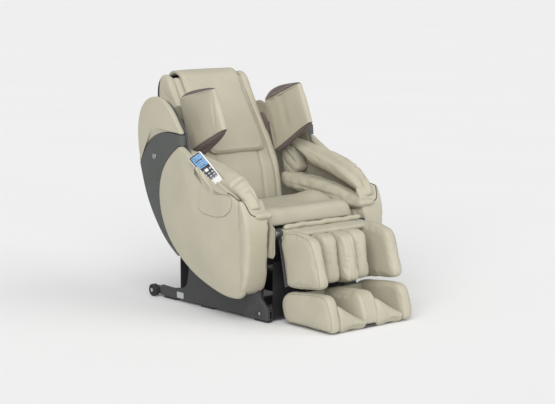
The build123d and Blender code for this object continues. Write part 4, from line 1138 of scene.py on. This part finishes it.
def build_calf_unit():
    """Calf wings, pillows in the wells, ribbed divider, knee roll and the apron behind it."""
    inner = build_leg_wings("calf", "legrest", LEG_HALF, softness=0.016, edge=0.017, inset=0.011, seed=11.0)

    ring = set_back(profile("calf_divider", DIVIDER_HALF, softness=0.012, count=120), 0.72)
    divider = slab("calf_divider_cover", ring, -DIVIDER_HALF - 0.004, DIVIDER_HALF + 0.004, 0.014, LEATHER,
                   crown=(0.003, 0.003))
    inflate(divider, 0.005, 4.0, 0.005)
    ribs(divider, (0.010, -0.012))
    settle(divider, "legrest", "cream_leather", ["calf_divider"], fill=0.8)

    for side, hand in SIDES:
        pad_ring = profile("calf_pads", 0.034, softness=0.010, count=90)
        pad = slab(f"calf_pad_{hand}", pad_ring, side * 0.036, side * (inner - 0.002), 0.012, LEATHER)
        inflate(pad, 0.006, 3.0, 0.004)
        settle(pad, "legrest", "cream_leather", ["calf_pads"], fill=0.6)
        ring = set_back(profile("calf_divider", DIVIDER_HALF, softness=0.018, count=90), 0.50)
        cell = slab(f"calf_pillow_{hand}", ring, side * 0.052, side * 0.136, 0.020, LEATHER,
                    crown=(0.004, 0.004))
        inflate(cell, 0.006, 5.0, 0.005)
        settle(cell, "legrest", "cream_leather", fill=0.7)

    low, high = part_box("knee_roll")
    y, z = (low.y + high.y) / 2, (low.z + high.z) / 2
    rings = []
    t = np.linspace(0, 2 * math.pi, 24, endpoint=False)
    for x in np.linspace(low.x + 0.004, high.x - 0.004, 70):
        radius = 0.0125 * min(1.0, 0.55 + 22 * min(x - low.x, high.x - x))
        sag = 0.0015 * math.sin(x * 37) + 0.001 * math.sin(x * 83)
        rings.append(np.column_stack([np.full(24, x), y + radius * np.cos(t), z + sag + radius * np.sin(t)]))
    roll = loft("knee_roll_cover", rings, LEATHER)
    settle(roll, "legrest", "cream_leather", ["knee_roll"], fill=0.8)
    ring = outline([(-0.262, 0.428), (-0.266, 0.439), (-0.290, 0.443), (-0.335, 0.441), (-0.372, 0.432),
                    (-0.380, 0.416), (-0.350, 0.402), (-0.325, 0.388), (-0.300, 0.384), (-0.276, 0.394)],
                   120, 0.008)
    apron = slab("calf_apron", ring, -LEG_HALF + 0.020, LEG_HALF - 0.020, 0.010, LEATHER)
    remesh(apron, 0.006, 4)
    ripple(apron, 0.05, 0.003, 14.0)
    settle(apron, "legrest", "cream_leather", fill=0.5)


def build_foot_unit():
    """Foot wings, ribbed divider, domed toe cushions with dart pleats, and heel pads."""
    inner = build_leg_wings("foot", "footrest", FOOT_HALF, softness=0.014, edge=0.018, inset=0.012, seed=12.0)

    ring = profile("foot_divider", DIVIDER_HALF, softness=0.014, count=120)
    divider = slab("foot_divider_cover", ring, -FOOT_RIB, FOOT_RIB, 0.018, LEATHER, crown=(0.004, 0.004))
    inflate(divider, 0.005, 4.0, 0.005)
    ribs(divider, (0.000, 0.018, -0.018))
    settle(divider, "footrest", "cream_leather", ["foot_divider"], fill=0.8)

    toe_ring = outline([(-0.640, 0.004), (-0.652, 0.030), (-0.650, 0.090), (-0.628, 0.128), (-0.590, 0.132),
                        (-0.540, 0.096), (-0.500, 0.060), (-0.440, 0.045), (-0.388, 0.043), (-0.388, 0.010)],
                       120, 0.010)
    heel_ring = outline([(-0.353, 0.030), (-0.353, 0.148), (-0.372, 0.150), (-0.392, 0.044), (-0.392, 0.030)],
                        90, 0.008)
    for side, hand in SIDES:
        ends = side * (FOOT_RIB - 0.018), side * (inner + 0.004)
        toe = slab(f"foot_sole_{hand}", toe_ring, *ends, 0.018, LEATHER)
        inflate(toe, 0.005, 4.0, 0.006)
        co = points_of(toe)
        share = np.clip((np.abs(co[:, 0]) - FOOT_RIB) / (inner - FOOT_RIB), 0, 1)
        share = share if side < 0 else 1 - share
        drop = 0.085 * (1 - share) ** 1.4 + 0.012 * np.sin(math.pi * share)
        drop *= np.clip((co[:, 2] - 0.03) / 0.10, 0, 1)
        co[:, 2] = np.maximum(co[:, 2] - drop, 0.003)
        set_points(toe, co)
        x = side * (FOOT_RIB + 0.4 * (inner - FOOT_RIB))
        crease(toe, [((x - 0.020, -0.655, 0.066), (x - 0.012, -0.655, 0.024), 0.006, 0.006),
                     ((x - 0.004, -0.655, 0.050), (x - 0.006, -0.655, 0.022), 0.005, 0.004),
                     ((x + 0.045, -0.640, 0.080), (x + 0.062, -0.655, 0.030), 0.008, 0.006)])
        settle(toe, "footrest", "cream_leather", ["foot_pads"], fill=0.7)
        heel = slab(f"foot_heel_{hand}", heel_ring, side * 0.034, side * (inner - 0.001), 0.010, LEATHER)
        inflate(heel, 0.005, 3.0, 0.004)
        settle(heel, "footrest", "cream_leather", fill=0.6)


def build_shields():
    """Dark shields that hang from the seat pan to the front panel, either side of the leg drive."""
    for side, hand in SIDES:
        corners = [(0.100, 0.262), (0.255, 0.262), (0.262, 0.269), (0.262, 0.404), (0.100, 0.404)]
        rows = [np.array([(side * x, y, z) for x, z in corners]) for y in (-0.2025, -0.2000)]
        shield = loft(f"seat_shield_{hand}", rows, BLACK)
        shield.data.polygons.foreach_set("use_smooth", [False] * len(shield.data.polygons))
        settle(shield, "base", "black_plastic")


# ---------------------------------------------------------------- remote
def build_remote_detail():
    """Dark bezel and a block of small keys on the remote's face."""
    middle, across, up, face = remote_axes()
    width, depth = 0.068, 0.019

    def plate(name, x, y, w, l, low, high, material, radius=0.004):
        """A flat plate with rounded corners, from depth low to depth high along the face."""
        corners = []
        for cx, cy, turn in ((1, 1, 0), (-1, 1, 90), (-1, -1, 180), (1, -1, 270)):
            for a in np.radians(np.linspace(turn, turn + 90, 5)):
                corners.append((cx * (w / 2 - radius) + radius * math.cos(a),
                                cy * (l / 2 - radius) + radius * math.sin(a)))
        rows = []
        for z, inset in ((low, 0), (high - 0.0004, 0), (high, 0.0004)):
            wide, tall = 1 - inset / w * 2, 1 - inset / l * 2
            rows.append(np.array([middle + across * (x + cx * wide) + up * (y + cy * tall) + face * z
                                  for cx, cy in corners]))
        return loft(name, rows, material)

    top = depth / 2
    bezel = plate("remote_bezel", -0.002, 0.016, width - 0.009, 0.164, top - 0.0004, top + 0.0003,
                  BEZEL, 0.008)
    for y, size in ((0.052, (0.0524, 0.0744, 0.01)), (-0.008, (0.017, 0.017, 0.01))):
        cut_box(bezel, middle + up * y + face * top, (across, up, face), size)
    settle(bezel, "remote", "black_plastic")
    for k, (x, y, w, l) in enumerate(((-0.010, 0.078, 0.020, 0.003), (0.012, 0.078, 0.010, 0.003),
                                      (-0.006, 0.068, 0.028, 0.002), (0.0, 0.058, 0.038, 0.007),
                                      (-0.008, 0.046, 0.022, 0.003), (0.012, 0.046, 0.012, 0.003),
                                      (0.0, 0.034, 0.036, 0.002), (0.0, 0.024, 0.030, 0.004))):
        bar = plate(f"remote_lcd_{k + 1}", x, y, w, l, top - 0.0003, top + 0.0002, BEZEL, 0.0008)
        settle(bar, "remote", "black_plastic")
    count = 0
    for row, y in enumerate((-0.030, -0.046, -0.062)):
        for column in (-1, 0, 1):
            count += 1
            key = plate(f"remote_key_{count}", column * 0.018, y, 0.013, 0.009, top - 0.0004, top + 0.0014,
                        LABEL, 0.003)
            settle(key, "remote", "black_plastic")
    for k, x in enumerate((-0.020, 0.020)):
        key = plate(f"remote_side_key_{k + 1}", x, -0.008, 0.012, 0.012, top - 0.0004, top + 0.0014,
                    LABEL, 0.005)
        settle(key, "remote", "black_plastic")


# ---------------------------------------------------------------- assembly
build_stage()
finish_nodes()
left_panel, right_panel = build_side_panels()
build_lobes()
build_liners()
left_front = build_arm_fronts()
left_pad = build_upper_pads()
build_lower_pads()
build_gussets()
build_arm_piping([left_panel, left_front, left_pad])
build_pocket_flap(right_panel)
build_seat()
build_side_flaps()
build_back_pad()
build_bolsters()
build_head_pad()
build_wings()
build_calf_unit()
build_foot_unit()
build_shields()
build_remote_detail()
